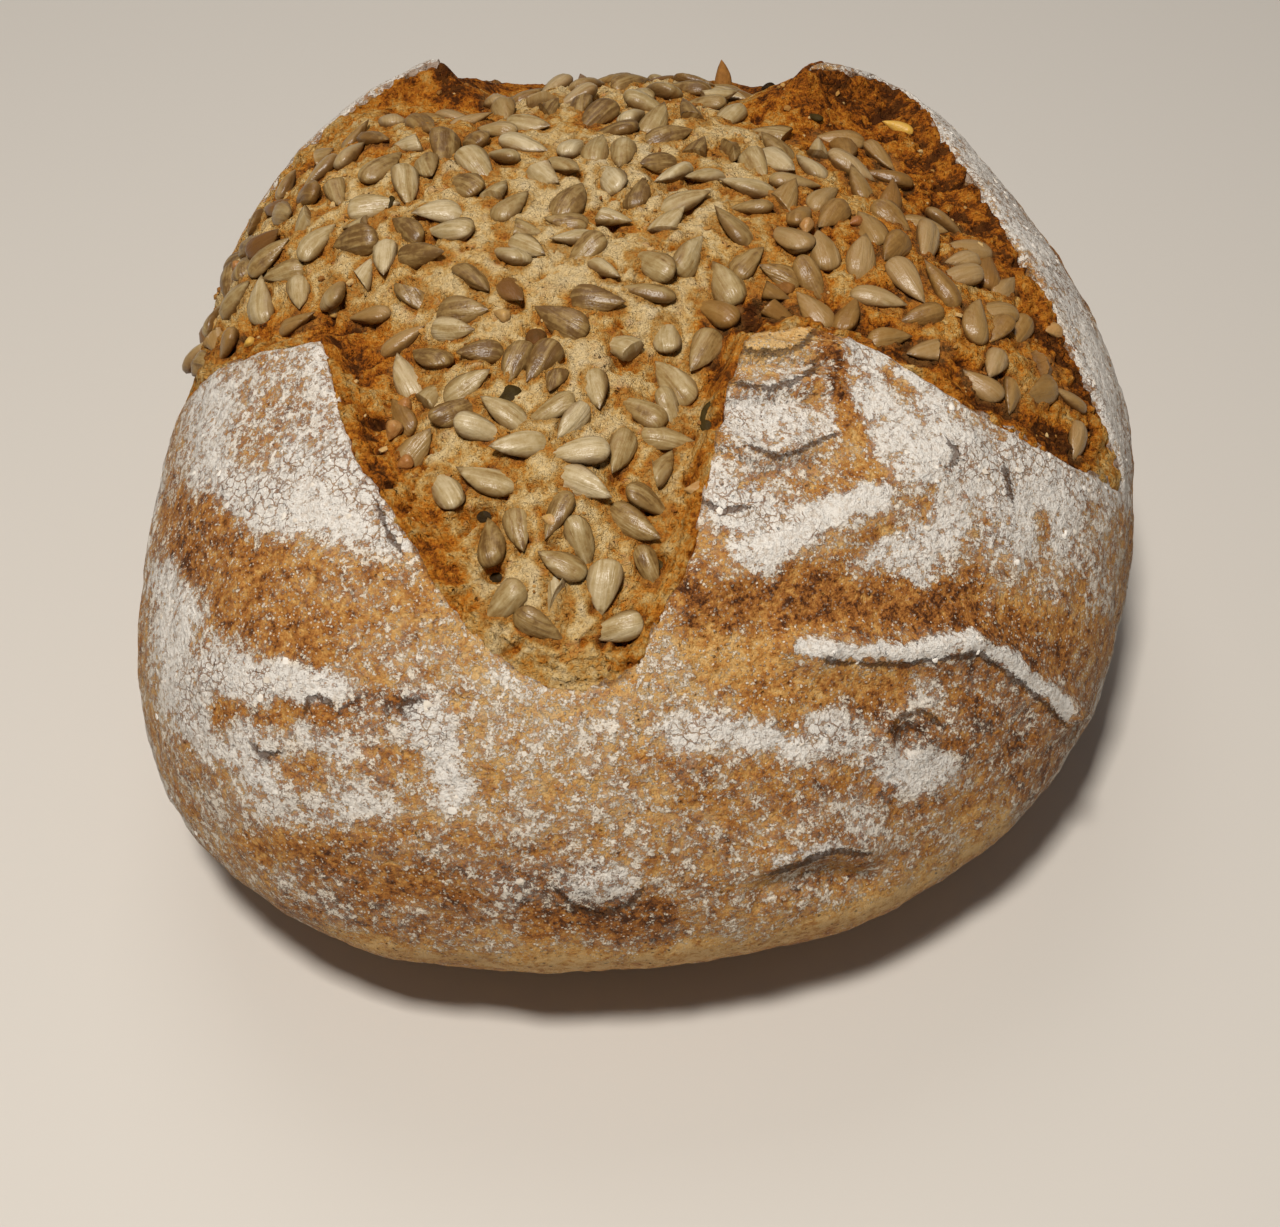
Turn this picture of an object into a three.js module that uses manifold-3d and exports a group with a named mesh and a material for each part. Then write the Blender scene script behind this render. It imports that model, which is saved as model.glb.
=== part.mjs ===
// A round hearth loaf: a floured crust torn open along a cross, with sunflower kernels
// baked into the open crumb. One solid, in millimetres, +Z up, its front towards -Y.

import * as THREE from "three";
import { mergeVertices } from "three/addons/utils/BufferGeometryUtils.js";
import Module from "manifold-3d";

const wasm = await Module();
wasm.setup();

// Driving dimensions of the dome

const bellyRadius = 104; // mean radius at the widest level
const crownHeight = 108.7; // flat base to the top of the dome
const bellyHeight = 37.2; // height of the widest level
const upperFullness = 2.367; // superellipse exponent above the belly, 2 is a plain ellipse
const lowerFullness = 1.85; // the same below the belly
const lowerReach = 1.482; // how far the lower curve would go below the base, in belly heights
const unevenness = [
  { lobes: 2, cosine: -0.046, sine: 0.025 }, // longer from front to back than from side to side
  { lobes: 3, cosine: 0.028, sine: -0.01 },
  { lobes: 4, cosine: -0.026, sine: -0.005 },
];
const crownLean = new THREE.Vector2(-1.9, 16.5); // the crown sits behind the middle
const centreOffset = new THREE.Vector2(-3, 0.4); // brings the middle of the outline to the origin

// The torn opening, seen from above: its front, right, back and left arms. Each runs from one
// crust corner round its tip to the next corner. depth and wall are how far the crumb lies below
// the crust and how wide the torn slope is, at equal steps along the arm's edge; lift is how far
// the crust curls up there, or sags where it is negative.

const arms = [
  {
    outline: [
      [-56, -17], [-52, -31], [-48, -42], [-41, -54], [-34, -65], [-26, -74], [-17, -80],
      [-8, -81.5], [0, -78.5], [5, -70], [10, -60], [13, -46], [16, -32], [20, -19],
    ],
    depth: [7.5, 4, 0.8, 4, 6.5],
    wall: [11, 9, 7, 6, 6],
    lift: [1.2, 0.5, 0, 0.6, 1.4],
  },
  {
    outline: [
      [20, -19], [30, -16], [42, -19], [54, -24], [66, -27], [78, -26], [88, -22], [92, -16],
      [86, -8], [80, 3], [76, 13], [71, 25], [67, 36], [62, 47], [58, 59], [55, 67], [49, 70],
      [42, 68], [33, 63],
    ],
    depth: [1.8, 1.2, 2, 6.5, 9.5],
    wall: [6, 6, 8, 14, 19],
    lift: [1.4, 0.8, 0.4, 1.5, 0.6],
  },
  {
    outline: [
      [33, 63], [37, 73], [40, 84], [37, 94], [24, 101.5], [3, 104.5], [-18, 103.5], [-34, 98],
      [-43, 88], [-44, 79], [-42, 71],
    ],
    depth: [10, 16, 11, 16, 10],
    wall: [16, 13, 9, 12, 14],
    lift: [0.6, -1.5, -3, -1.5, 1.5],
  },
  {
    outline: [
      [-42, 71], [-51, 69], [-60, 63], [-69, 54], [-78, 45], [-86, 35], [-91.5, 23], [-93, 9],
      [-89, -3], [-79, -9], [-67, -13.5], [-56, -17],
    ],
    depth: [10, 2.2, 0.6, 0.8, 3.5],
    wall: [14, 10, 7, 6, 7],
    lift: [1.5, 0.2, 0, 0.3, 1.2],
  },
];
const openingCentre = new THREE.Vector2(-2, 10); // every arm's edge can be seen from here
const crustThickness = 1.1; // the sharp step at the torn edge
const wallOverhang = 0.35; // how far the torn slope starts outside the edge, in wall widths
const crumbBulge = 2.6; // rise of the crumb between the walls
const bulgeReach = [11, 26]; // distance from the edge over which it rises
const liftReach = 11; // how far from the edge the crust's curl dies away

// Folds and ridges of the crust: a path along the surface, half its width and its height

const ridges = [
  { path: [[27, -73, 83], [47, -69, 78], [62, -63, 74], [81, -60, 50]], half: 4.2, height: 2.6 },
  { path: [[12, -65, 90], [37, -50, 93], [57, -34, 93]], half: 5.5, height: 1.7 },
  { path: [[24, -96, 54], [34, -92, 55], [41, -91, 50]], half: 4.5, height: 1.8 },
  { path: [[24, -97, 48], [34, -94, 48], [41, -92, 43]], half: 3.5, height: -1.8 },
];
// Stepped ledges where the crust cracked in front of its right-hand corner
const ledges = [
  { path: [[19, -24, 104], [27, -23, 103], [35, -22, 102]], half: 3.2, height: 1.8 },
  { path: [[17, -33, 102], [25, -31, 102], [33, -29, 101]], half: 3.2, height: 1.6 },
  { path: [[15, -42, 100], [22, -45, 98], [28, -42, 98]], half: 3.2, height: 1.4 },
];
const waves = [
  { along: [0.052, 0.021, 0.037], phase: 0.6, height: 0.7 },
  { along: [-0.031, 0.058, 0.026], phase: 2.1, height: 0.6 },
  { along: [0.083, -0.064, 0.049], phase: 4.0, height: 0.35 },
];

// Sunflower kernels: length, width and thickness of a middling one

const kernelSize = new THREE.Vector3(9.9, 5.3, 3.2);
const kernelSpread = 0.13; // the first is this share larger than that, the last smaller
const kernelCount = 250; // on the real loaf
const kernelsMade = 157; // the largest of them
const kernelUneven = 0.06; // chance difference in each measure
const kernelTries = 14000;
const kernelSides = 5;
const kernelProfile = [[0, -0.5], [0.37, -0.3], [0.46, 0.14], [0, 0.5]];
const kernelSeat = 0.16; // height of the middle above the crumb, in thicknesses
const kernelPitch = 0.36; // radians that either end may rise
const kernelRoll = 0.65; // radians that either side may rise
const kernelClearance = 0.66; // 1 keeps neighbours just apart
const kernelHalf = 0.3; // from the middle to where an end is tested for touching, in lengths
const kernelField = [[-94, 92], [-82, 104]]; // where the draw puts them, in x and in y
const kernelEdgeGap = 3.6; // least distance to the torn edge
const kernelWallGap = 0.75; // the same as a share of the torn slope's width
const clusterCentre = new THREE.Vector2(-5, 15); // a bare patch; others repeat around it
const clusterPitch = new THREE.Vector2(36, 31); // distance from one bare patch to the next
const clusterSkew = 0.3;
const clusterDensity = [0.1, 1]; // share of the kernels kept in a bare patch and in a cluster
const seedOfDraw = 4835;

// How finely the solid is divided

const spokes = 88;
const crumbRows = 7;
const crustRows = 8;
const underRows = 4;
const outlineSteps = 64;
const crumbRowSpacing = 1.35; // above 1 the crumb's rows lie closer near the torn edge
const lastCrumbRow = 0.995; // of the way to the edge
const calmFrom = 1.15; // disk distance from which the unevenness dies away towards the base
const calmTo = 0.1; // and how far before the base's edge it is gone
const leanPower = 1.5; // how quickly the crown's lean grows with height
const normalStep = 1e-3; // disk distance over which a slope is measured
const weldDistance = 1e-3;
const searchSteps = 40;
const rayHeight = 20; // above a kernel, from where its seat is looked for

function smoothStep(low, high, x) {
  const t = Math.min(1, Math.max(0, (x - low) / (high - low)));
  return t * t * (3 - 2 * t);
}

// The plain dome. A point is named by disk coordinates (u, v): distance 0 is the crown,
// 1 the belly, and baseDistance the edge of the flat base.

const baseDistance = 2 - (2 / Math.PI) * Math.acos(Math.pow(lowerReach, -lowerFullness / 2));

function unevenAt(angle) {
  let sum = 0;
  for (const { lobes, cosine, sine } of unevenness) {
    sum += cosine * Math.cos(lobes * angle) + sine * Math.sin(lobes * angle);
  }
  return sum;
}

function domePoint(u, v) {
  const angle = Math.atan2(v, u);
  const slant = Math.min(Math.hypot(u, v), baseDistance) * (Math.PI / 2);
  const above = slant <= Math.PI / 2;
  const power = 2 / (above ? upperFullness : lowerFullness);
  const reach = Math.pow(Math.sin(slant), power);
  const rise = Math.pow(Math.abs(Math.cos(slant)), power);
  const height = above
    ? bellyHeight + (crownHeight - bellyHeight) * rise
    : bellyHeight - bellyHeight * lowerReach * rise;
  const radius = bellyRadius * reach * (1 + unevenAt(angle));
  const lean = above ? Math.pow(rise, leanPower) : 0;
  return new THREE.Vector3(
    radius * Math.cos(angle) + crownLean.x * lean,
    radius * Math.sin(angle) + crownLean.y * lean,
    height,
  );
}

function domeNormal(u, v) {
  const alongU = domePoint(u + normalStep, v).sub(domePoint(u - normalStep, v));
  const alongV = domePoint(u, v + normalStep).sub(domePoint(u, v - normalStep));
  return alongU.cross(alongV).normalize();
}

// Finds the disk coordinates of the dome's upper point over a place in the plan

function diskFromPlan(x, y) {
  let low = 0;
  let high = 1;
  for (let i = 0; i < searchSteps; i++) {
    const rise = (low + high) / 2;
    const lean = Math.pow(rise, leanPower);
    const px = x - crownLean.x * lean;
    const py = y - crownLean.y * lean;
    const angle = Math.atan2(py, px);
    const reach = Math.min(1, Math.hypot(px, py) / (bellyRadius * (1 + unevenAt(angle))));
    const surfaceRise = Math.pow(1 - Math.pow(reach, upperFullness), 1 / upperFullness);
    if (surfaceRise > rise) low = rise;
    else high = rise;
  }
  const rise = (low + high) / 2;
  const lean = Math.pow(rise, leanPower);
  const angle = Math.atan2(y - crownLean.y * lean, x - crownLean.x * lean);
  const distance = Math.acos(Math.min(1, Math.pow(rise, upperFullness / 2))) / (Math.PI / 2);
  return new THREE.Vector2(distance * Math.cos(angle), distance * Math.sin(angle));
}

// The outline of the opening as a closed run of points with their depth, wall and lift

function valueAlong(values, t) {
  const step = Math.min(values.length - 2, Math.floor(t * (values.length - 1)));
  const part = smoothStep(0, 1, t * (values.length - 1) - step);
  return THREE.MathUtils.lerp(values[step], values[step + 1], part);
}

function makeOutline() {
  const points = [];
  for (const arm of arms) {
    const curve = new THREE.SplineCurve(arm.outline.map(([x, y]) => new THREE.Vector2(x, y)));
    for (let i = 0; i < outlineSteps; i++) {
      const t = i / outlineSteps;
      points.push({
        place: curve.getPoint(t),
        depth: valueAlong(arm.depth, t),
        wall: valueAlong(arm.wall, t),
        lift: valueAlong(arm.lift, t),
      });
    }
  }
  return points;
}

const outline = makeOutline();

function distanceToSegment(x, y, a, b) {
  const dx = b.x - a.x;
  const dy = b.y - a.y;
  const along = ((x - a.x) * dx + (y - a.y) * dy) / (dx * dx + dy * dy);
  const t = Math.min(1, Math.max(0, along));
  return Math.hypot(x - a.x - t * dx, y - a.y - t * dy);
}

// What the opening's edge is like near a place: its distance, negative outside the opening,
// and the depth, wall and lift there, which blend smoothly from one part of the edge to the next

function edgeNear(x, y) {
  let distance = Infinity;
  let inside = false;
  let weight = 0;
  const near = { depth: 0, wall: 0, lift: 0 };
  for (let i = 0; i < outline.length; i++) {
    const a = outline[i].place;
    const b = outline[(i + 1) % outline.length].place;
    distance = Math.min(distance, distanceToSegment(x, y, a, b));
    if (a.y > y !== b.y > y && x < ((b.x - a.x) * (y - a.y)) / (b.y - a.y) + a.x) inside = !inside;
    const square = (x - a.x) ** 2 + (y - a.y) ** 2 + 1;
    const share = 1 / (square * square);
    weight += share;
    near.depth += outline[i].depth * share;
    near.wall += outline[i].wall * share;
    near.lift += outline[i].lift * share;
  }
  near.depth /= weight;
  near.wall /= weight;
  near.lift /= weight;
  near.distance = inside ? distance : -distance;
  return near;
}

// Height of the crumb above the plain dome, at or inside the torn edge

function crumbRelief(edge) {
  const slope = smoothStep(-wallOverhang * edge.wall, edge.wall, edge.distance);
  const bulge = crumbBulge * smoothStep(bulgeReach[0], bulgeReach[1], edge.distance);
  return bulge - crustThickness - Math.max(0, edge.depth - crustThickness) * slope;
}

function distanceToPath(point, path) {
  let least = Infinity;
  for (let i = 1; i < path.length; i++) {
    const a = new THREE.Vector3(...path[i - 1]);
    const b = new THREE.Vector3(...path[i]);
    const nearest = new THREE.Line3(a, b).closestPointToPoint(point, true, new THREE.Vector3());
    least = Math.min(least, nearest.distanceTo(point));
  }
  return least;
}

function wavesAt(point) {
  let sum = 0;
  for (const wave of waves) {
    const [a, b, c] = wave.along;
    sum += wave.height * Math.sin(a * point.x + b * point.y + c * point.z + wave.phase);
  }
  return sum;
}

// Height of the crust above the plain dome, outside the torn edge

function crustRelief(point, edge) {
  let relief = edge.lift * Math.exp(Math.min(0, edge.distance) / liftReach);
  for (const { path, half, height } of [...ridges, ...ledges]) {
    relief += height * Math.exp(-((distanceToPath(point, path) / half) ** 2));
  }
  return relief;
}

function place(u, v, reliefAt) {
  const point = domePoint(u, v);
  const edge = edgeNear(point.x, point.y);
  const calm = 1 - smoothStep(calmFrom, baseDistance - calmTo, Math.hypot(u, v));
  const relief = (reliefAt(point, edge) + wavesAt(point)) * calm;
  point.addScaledVector(domeNormal(u, v), relief);
  point.z = Math.max(0, point.z);
  return point;
}

const placeCrumb = (u, v) => place(u, v, (point, edge) => crumbRelief(edge));
const placeCrust = (u, v) => place(u, v, crustRelief);

// The body: rings of vertices from the crown out to the torn edge, over the crust and under

function spacedOutline(count) {
  const lengths = [0];
  for (let i = 1; i <= outline.length; i++) {
    const a = outline[i - 1].place;
    const b = outline[i % outline.length].place;
    lengths.push(lengths[i - 1] + a.distanceTo(b));
  }
  const spaced = [];
  let at = 0;
  for (let k = 0; k < count; k++) {
    const wanted = (lengths[outline.length] * k) / count;
    while (lengths[at + 1] <= wanted) at++;
    const t = (wanted - lengths[at]) / (lengths[at + 1] - lengths[at]);
    spaced.push(outline[at].place.clone().lerp(outline[(at + 1) % outline.length].place, t));
  }
  return spaced;
}

function makeRings() {
  const centre = diskFromPlan(openingCentre.x, openingCentre.y);
  const edge = spacedOutline(spokes).map((p) => diskFromPlan(p.x, p.y));
  const rings = [[placeCrumb(centre.x, centre.y)]];
  for (let row = 1; row <= crumbRows; row++) {
    const t = (1 - Math.pow(1 - row / crumbRows, crumbRowSpacing)) * lastCrumbRow;
    rings.push(edge.map((p) => placeCrumb(centre.x + (p.x - centre.x) * t, centre.y + (p.y - centre.y) * t)));
  }
  const edgeAngle = edge.map((p) => Math.atan2(p.y, p.x));
  for (let k = 1; k < spokes; k++) {
    while (edgeAngle[k] < edgeAngle[k - 1] - Math.PI) edgeAngle[k] += 2 * Math.PI;
  }
  const firstAngle = edgeAngle.reduce((sum, a, k) => sum + a - (2 * Math.PI * k) / spokes, 0) / spokes;
  const outward = (row, rows, from, to) => from + (to - from) * (row / rows);
  for (let row = 0; row <= crustRows; row++) {
    const turn = smoothStep(0, crustRows, row);
    rings.push(
      edge.map((p, k) => {
        const distance = outward(row, crustRows, p.length(), 1);
        const angle = THREE.MathUtils.lerp(edgeAngle[k], firstAngle + (2 * Math.PI * k) / spokes, turn);
        return placeCrust(distance * Math.cos(angle), distance * Math.sin(angle));
      }),
    );
  }
  for (let row = 1; row <= underRows; row++) {
    const distance = outward(row, underRows, 1, baseDistance);
    rings.push(
      edge.map((p, k) => {
        const angle = firstAngle + (2 * Math.PI * k) / spokes;
        return placeCrust(distance * Math.cos(angle), distance * Math.sin(angle));
      }),
    );
  }
  rings.push([new THREE.Vector3(0, 0, 0)]);
  return rings;
}

function bodyGeometry() {
  const rings = makeRings();
  const starts = [];
  const positions = [];
  for (const ring of rings) {
    starts.push(positions.length / 3);
    for (const p of ring) positions.push(p.x, p.y, p.z);
  }
  const index = [];
  const at = (ring, k) => starts[ring] + (rings[ring].length === 1 ? 0 : k % spokes);
  for (let ring = 1; ring < rings.length; ring++) {
    for (let k = 0; k < spokes; k++) {
      const innerA = at(ring - 1, k);
      const innerB = at(ring - 1, k + 1);
      const outerA = at(ring, k);
      const outerB = at(ring, k + 1);
      if (outerA !== outerB) index.push(innerA, outerA, outerB);
      if (innerA !== innerB) index.push(innerA, outerB, innerB);
    }
  }
  const geometry = new THREE.BufferGeometry();
  geometry.setAttribute("position", new THREE.Float32BufferAttribute(positions, 3));
  geometry.setIndex(index);
  return geometry;
}

// The kernels are scattered over the crumb by a seeded draw

function makeDraw(seed) {
  let state = seed;
  return () => {
    state = (state + 0x6d2b79f5) | 0;
    let t = Math.imul(state ^ (state >>> 15), 1 | state);
    t = (t + Math.imul(t ^ (t >>> 7), 61 | t)) ^ t;
    return ((t ^ (t >>> 14)) >>> 0) / 4294967296;
  };
}

// Three points along a kernel, which stand for it when two are tested for touching

function kernelSpine(kernel) {
  const reach = kernelHalf * kernel.length;
  return [-reach, 0, reach].map((s) => kernel.middle.clone().addScaledVector(kernel.along, s));
}

function touches(a, b) {
  const least = kernelClearance * 0.5 * (a.width + b.width);
  return a.spine.some((p) => b.spine.some((q) => p.distanceTo(q) < least));
}

// Share of the places where a kernel may lie: they gather in clusters with bare crumb between

function kernelDensity(x, y) {
  const dx = x - clusterCentre.x;
  const dy = y - clusterCentre.y;
  const waveX = Math.cos((2 * Math.PI * (dx + clusterSkew * dy)) / clusterPitch.x);
  const waveY = Math.cos((2 * Math.PI * (dy - clusterSkew * dx)) / clusterPitch.y);
  return THREE.MathUtils.lerp(...clusterDensity, (1 - waveX * waveY) / 2);
}

function scatterKernels() {
  const draw = makeDraw(seedOfDraw);
  const kernels = [];
  for (let attempt = 0; attempt < kernelTries && kernels.length < kernelsMade; attempt++) {
    const size = 1 + kernelSpread * (1 - (2 * kernels.length) / kernelCount);
    const spread = () => size * (1 + kernelUneven * (2 * draw() - 1));
    const x = THREE.MathUtils.lerp(...kernelField[0], draw());
    const y = THREE.MathUtils.lerp(...kernelField[1], draw());
    const heading = Math.PI * 2 * draw();
    const pitch = kernelPitch * (2 * draw() - 1);
    const roll = kernelRoll * (2 * draw() - 1);
    const length = kernelSize.x * spread();
    const width = kernelSize.y * spread();
    const thickness = kernelSize.z * spread();
    const chance = draw();
    const edge = edgeNear(x, y);
    if (edge.distance < Math.max(kernelEdgeGap, kernelWallGap * edge.wall)) continue;
    if (chance > kernelDensity(x, y)) continue;
    const disk = diskFromPlan(x, y);
    const normal = domeNormal(disk.x, disk.y);
    const along = new THREE.Vector3(Math.cos(heading), Math.sin(heading), 0);
    along.addScaledVector(normal, -along.dot(normal)).normalize();
    const middle = placeCrumb(disk.x, disk.y).addScaledVector(normal, kernelSeat * thickness);
    const kernel = { middle, along, normal, pitch, roll, length, width, thickness };
    kernel.spine = kernelSpine(kernel);
    if (kernels.some((other) => touches(kernel, other))) continue;
    kernels.push(kernel);
  }
  return kernels;
}

// Seats a kernel on the facets below it

function seatOn(body, kernel) {
  const above = kernel.middle.clone().addScaledVector(kernel.normal, rayHeight);
  const down = new THREE.Raycaster(above, kernel.normal.clone().negate());
  const [hit] = down.intersectObject(body);
  kernel.middle.copy(hit.point).addScaledVector(kernel.normal, kernelSeat * kernel.thickness);
}

function kernelGeometry(kernel) {
  const profile = kernelProfile.map(([radius, along]) => new THREE.Vector2(radius, along));
  const shape = new THREE.LatheGeometry(profile, kernelSides);
  shape.scale(kernel.width, kernel.length, kernel.thickness);
  shape.rotateX(kernel.pitch);
  shape.rotateY(kernel.roll);
  const across = new THREE.Vector3().crossVectors(kernel.along, kernel.normal).normalize();
  const turn = new THREE.Matrix4().makeBasis(across, kernel.along, kernel.normal);
  shape.applyMatrix4(turn.setPosition(kernel.middle));
  return shape;
}

// Joins

function toSolid(geometry) {
  const bare = new THREE.BufferGeometry();
  bare.setAttribute("position", geometry.getAttribute("position"));
  bare.setIndex(geometry.getIndex());
  const merged = mergeVertices(bare, weldDistance);
  const index = Array.from(merged.getIndex().array);
  const kept = [];
  for (let i = 0; i < index.length; i += 3) {
    const [a, b, c] = index.slice(i, i + 3);
    if (a !== b && b !== c && a !== c) kept.push(a, b, c);
  }
  const mesh = new wasm.Mesh({
    numProp: 3,
    vertProperties: merged.getAttribute("position").array,
    triVerts: new Uint32Array(kept),
  });
  return new wasm.Manifold(mesh);
}

function toGeometry(solid) {
  const { vertProperties, triVerts } = solid.getMesh();
  const geometry = new THREE.BufferGeometry();
  geometry.setAttribute("position", new THREE.BufferAttribute(vertProperties, 3));
  geometry.setIndex(new THREE.BufferAttribute(triVerts, 1));
  geometry.computeVertexNormals();
  return geometry;
}

function makeLoaf() {
  const body = new THREE.Mesh(bodyGeometry());
  let solid = toSolid(body.geometry);
  for (const kernel of scatterKernels()) {
    seatOn(body, kernel);
    solid = solid.add(toSolid(kernelGeometry(kernel)));
  }
  const crust = new THREE.MeshStandardMaterial({ color: 0xb98a52, roughness: 0.85, metalness: 0 });
  const loaf = new THREE.Mesh(toGeometry(solid), crust);
  loaf.name = "loaf";
  loaf.position.set(centreOffset.x, centreOffset.y, 0);
  return loaf;
}

const bread = new THREE.Group();
bread.add(makeLoaf());

export default bread;
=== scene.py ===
# A round floured hearth loaf, torn open along a cross, with sunflower kernels in its crumb.
# Shapes are worked out in millimetres in the dome's own frame and written in metres.

import math

import bpy
import numpy as np
from mathutils import Matrix, Vector


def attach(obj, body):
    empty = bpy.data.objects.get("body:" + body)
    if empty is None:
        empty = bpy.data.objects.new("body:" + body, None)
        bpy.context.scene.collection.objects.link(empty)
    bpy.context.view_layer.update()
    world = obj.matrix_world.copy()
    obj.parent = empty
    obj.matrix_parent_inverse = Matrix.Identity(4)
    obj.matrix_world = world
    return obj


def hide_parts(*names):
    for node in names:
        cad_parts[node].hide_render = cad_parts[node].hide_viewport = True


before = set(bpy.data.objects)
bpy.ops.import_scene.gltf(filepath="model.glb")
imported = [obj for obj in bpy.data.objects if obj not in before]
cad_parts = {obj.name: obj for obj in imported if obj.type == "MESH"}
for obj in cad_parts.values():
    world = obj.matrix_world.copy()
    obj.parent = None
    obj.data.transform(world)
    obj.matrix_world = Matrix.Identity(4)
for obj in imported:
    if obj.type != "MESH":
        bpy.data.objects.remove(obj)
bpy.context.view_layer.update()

# Driving dimensions of the dome, the same as the solid's

BELLY_RADIUS = 104.0
CROWN_HEIGHT = 108.7
BELLY_HEIGHT = 37.2
UPPER_FULLNESS = 2.367
LOWER_FULLNESS = 1.85
LOWER_REACH = 1.482
UNEVENNESS = [(2, -0.046, 0.025), (3, 0.028, -0.01), (4, -0.026, -0.005)]
CROWN_LEAN = (-1.9, 16.5)
CENTRE_OFFSET = (-3.0, 0.4)
BASE_DISTANCE = 2 - (2 / math.pi) * math.acos(LOWER_REACH ** (-LOWER_FULLNESS / 2))

# The torn opening, seen from above

ARMS = [
    {
        "outline": [
            (-56, -17), (-52, -31), (-48, -42), (-41, -54), (-34, -65), (-26, -74), (-17, -80),
            (-8, -81.5), (0, -78.5), (5, -70), (10, -60), (13, -46), (16, -32), (20, -19),
        ],
        "depth": (7.5, 4, 0.8, 4, 6.5),
        "wall": (11, 9, 7, 6, 6),
        "lift": (1.2, 0.5, 0, 0.6, 1.4),
    },
    {
        "outline": [
            (20, -19), (30, -16), (42, -19), (54, -24), (66, -27), (78, -26), (88, -22), (92, -16),
            (86, -8), (80, 3), (76, 13), (71, 25), (67, 36), (62, 47), (58, 59), (55, 67), (49, 70),
            (42, 68), (33, 63),
        ],
        "depth": (1.8, 1.2, 2, 6.5, 9.5),
        "wall": (6, 6, 8, 14, 19),
        "lift": (1.4, 0.8, 0.4, 1.5, 0.6),
    },
    {
        "outline": [
            (33, 63), (37, 73), (40, 84), (37, 94), (24, 101.5), (3, 104.5), (-18, 103.5),
            (-34, 98), (-43, 88), (-44, 79), (-42, 71),
        ],
        "depth": (10, 16, 11, 16, 10),
        "wall": (16, 13, 9, 12, 14),
        "lift": (0.6, -1.5, -3, -1.5, 1.5),
    },
    {
        "outline": [
            (-42, 71), (-51, 69), (-60, 63), (-69, 54), (-78, 45), (-86, 35), (-91.5, 23), (-93, 9),
            (-89, -3), (-79, -9), (-67, -13.5), (-56, -17),
        ],
        "depth": (10, 2.2, 0.6, 0.8, 3.5),
        "wall": (14, 10, 7, 6, 7),
        "lift": (1.5, 0.2, 0, 0.3, 1.2),
    },
]
OPENING_CENTRE = (-2, 10)
CRUST_THICKNESS = 1.1
CRUMB_BULGE = 2.6
BULGE_REACH = (11, 26)
LIFT_REACH = 11

RIDGES = [
    {"path": [(27, -73, 83), (47, -69, 78), (62, -63, 74), (81, -60, 50)], "half": 3.6, "height": 2.2},
    {"path": [(12, -65, 90), (37, -50, 93), (57, -34, 93)], "half": 5.5, "height": 1.7},
    {"path": [(24, -96, 54), (34, -92, 55), (41, -91, 50)], "half": 4.5, "height": 1.8},
    {"path": [(24, -97, 48), (34, -94, 48), (41, -92, 43)], "half": 3.5, "height": -1.8},
]
LEDGES = [
    {"path": [(19, -24, 104), (27, -23, 103), (35, -22, 102)], "half": 3.2, "height": 1.8},
    {"path": [(17, -33, 102), (25, -31, 102), (33, -29, 101)], "half": 3.2, "height": 1.6},
    {"path": [(15, -42, 100), (22, -45, 98), (28, -42, 98)], "half": 3.2, "height": 1.4},
]
LEDGE_DROP = (0.2, 1.5)
LEDGE_GROOVE = 1.0
CRATER = ((915, 738), 24, 1.6)
BLISTER = ((598, 887), 17, 0.9)
WAVES = [
    {"along": (0.052, 0.021, 0.037), "phase": 0.6, "height": 0.7},
    {"along": (-0.031, 0.058, 0.026), "phase": 2.1, "height": 0.6},
    {"along": (0.083, -0.064, 0.049), "phase": 4.0, "height": 0.35},
]

# Sunflower kernels: length, width and thickness of a middling one

KERNEL_SIZE = (9.9, 5.3, 3.2)
KERNEL_SPREAD = 0.13
KERNEL_COUNT = 250
KERNEL_UNEVEN = 0.06
KERNEL_TRIES = 14000
KERNEL_SEAT = 0.16
KERNEL_PITCH = 0.36
KERNEL_ROLL = 0.65
KERNEL_CLEARANCE = 0.66
KERNEL_EDGE_GAP = 3.6
KERNEL_WALL_GAP = 0.75
CLUSTER_CENTRE = (-5, 15)
CLUSTER_PITCH = (36, 31)
CLUSTER_SKEW = 0.3
SEED_OF_DRAW = 4835

# The photograph's camera, in the dome's frame

PHOTO_SIZE = (1280, 1227)
PIXELS_PER_MM = 5.3
CAMERA_ELEVATION = math.radians(50)
CAMERA_ROLL = math.radians(1.07)
CAMERA_DISTANCE = 4.0 * BELLY_RADIUS
CAMERA_FOCAL_PX = 2174
CAMERA_TARGET = (0.014 * BELLY_RADIUS, -0.353 * BELLY_RADIUS, 0.468 * BELLY_RADIUS)
SENSOR_WIDTH = 36.0

MM = 0.001


# Helpers

def smooth_step(low, high, x):
    t = np.clip((x - low) / (high - low), 0, 1)
    return t * t * (3 - 2 * t)


def lattice_value(cell, seed):
    """A number from 0 to 1 for each whole-numbered cell, the same each time."""
    a = cell[:, 0] * 374761393 + cell[:, 1] * 668265263 + cell[:, 2] * 2147483647 + seed * 1274126177
    a = (a ^ (a >> 13)) & 0xFFFFFFFF
    a = (a * 1103515245 + 12345) & 0xFFFFFFFF
    a = ((a ^ (a >> 16)) * 69069 + 1) & 0xFFFFFFFF
    return ((a ^ (a >> 15)) & 0xFFFFFF) / float(0xFFFFFF)


def value_noise(points, size, seed):
    """Smooth noise from -1 to 1 with features about size across."""
    p = points / size
    cell = np.floor(p).astype(np.int64)
    f = p - cell
    f = f * f * f * (f * (f * 6 - 15) + 10)
    total = np.zeros(len(points))
    for corner in range(8):
        offset = np.array([corner & 1, (corner >> 1) & 1, corner >> 2])
        share = np.prod(np.where(offset == 1, f, 1 - f), axis=1)
        total += share * lattice_value(cell + offset, seed)
    return total * 2 - 1


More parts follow.
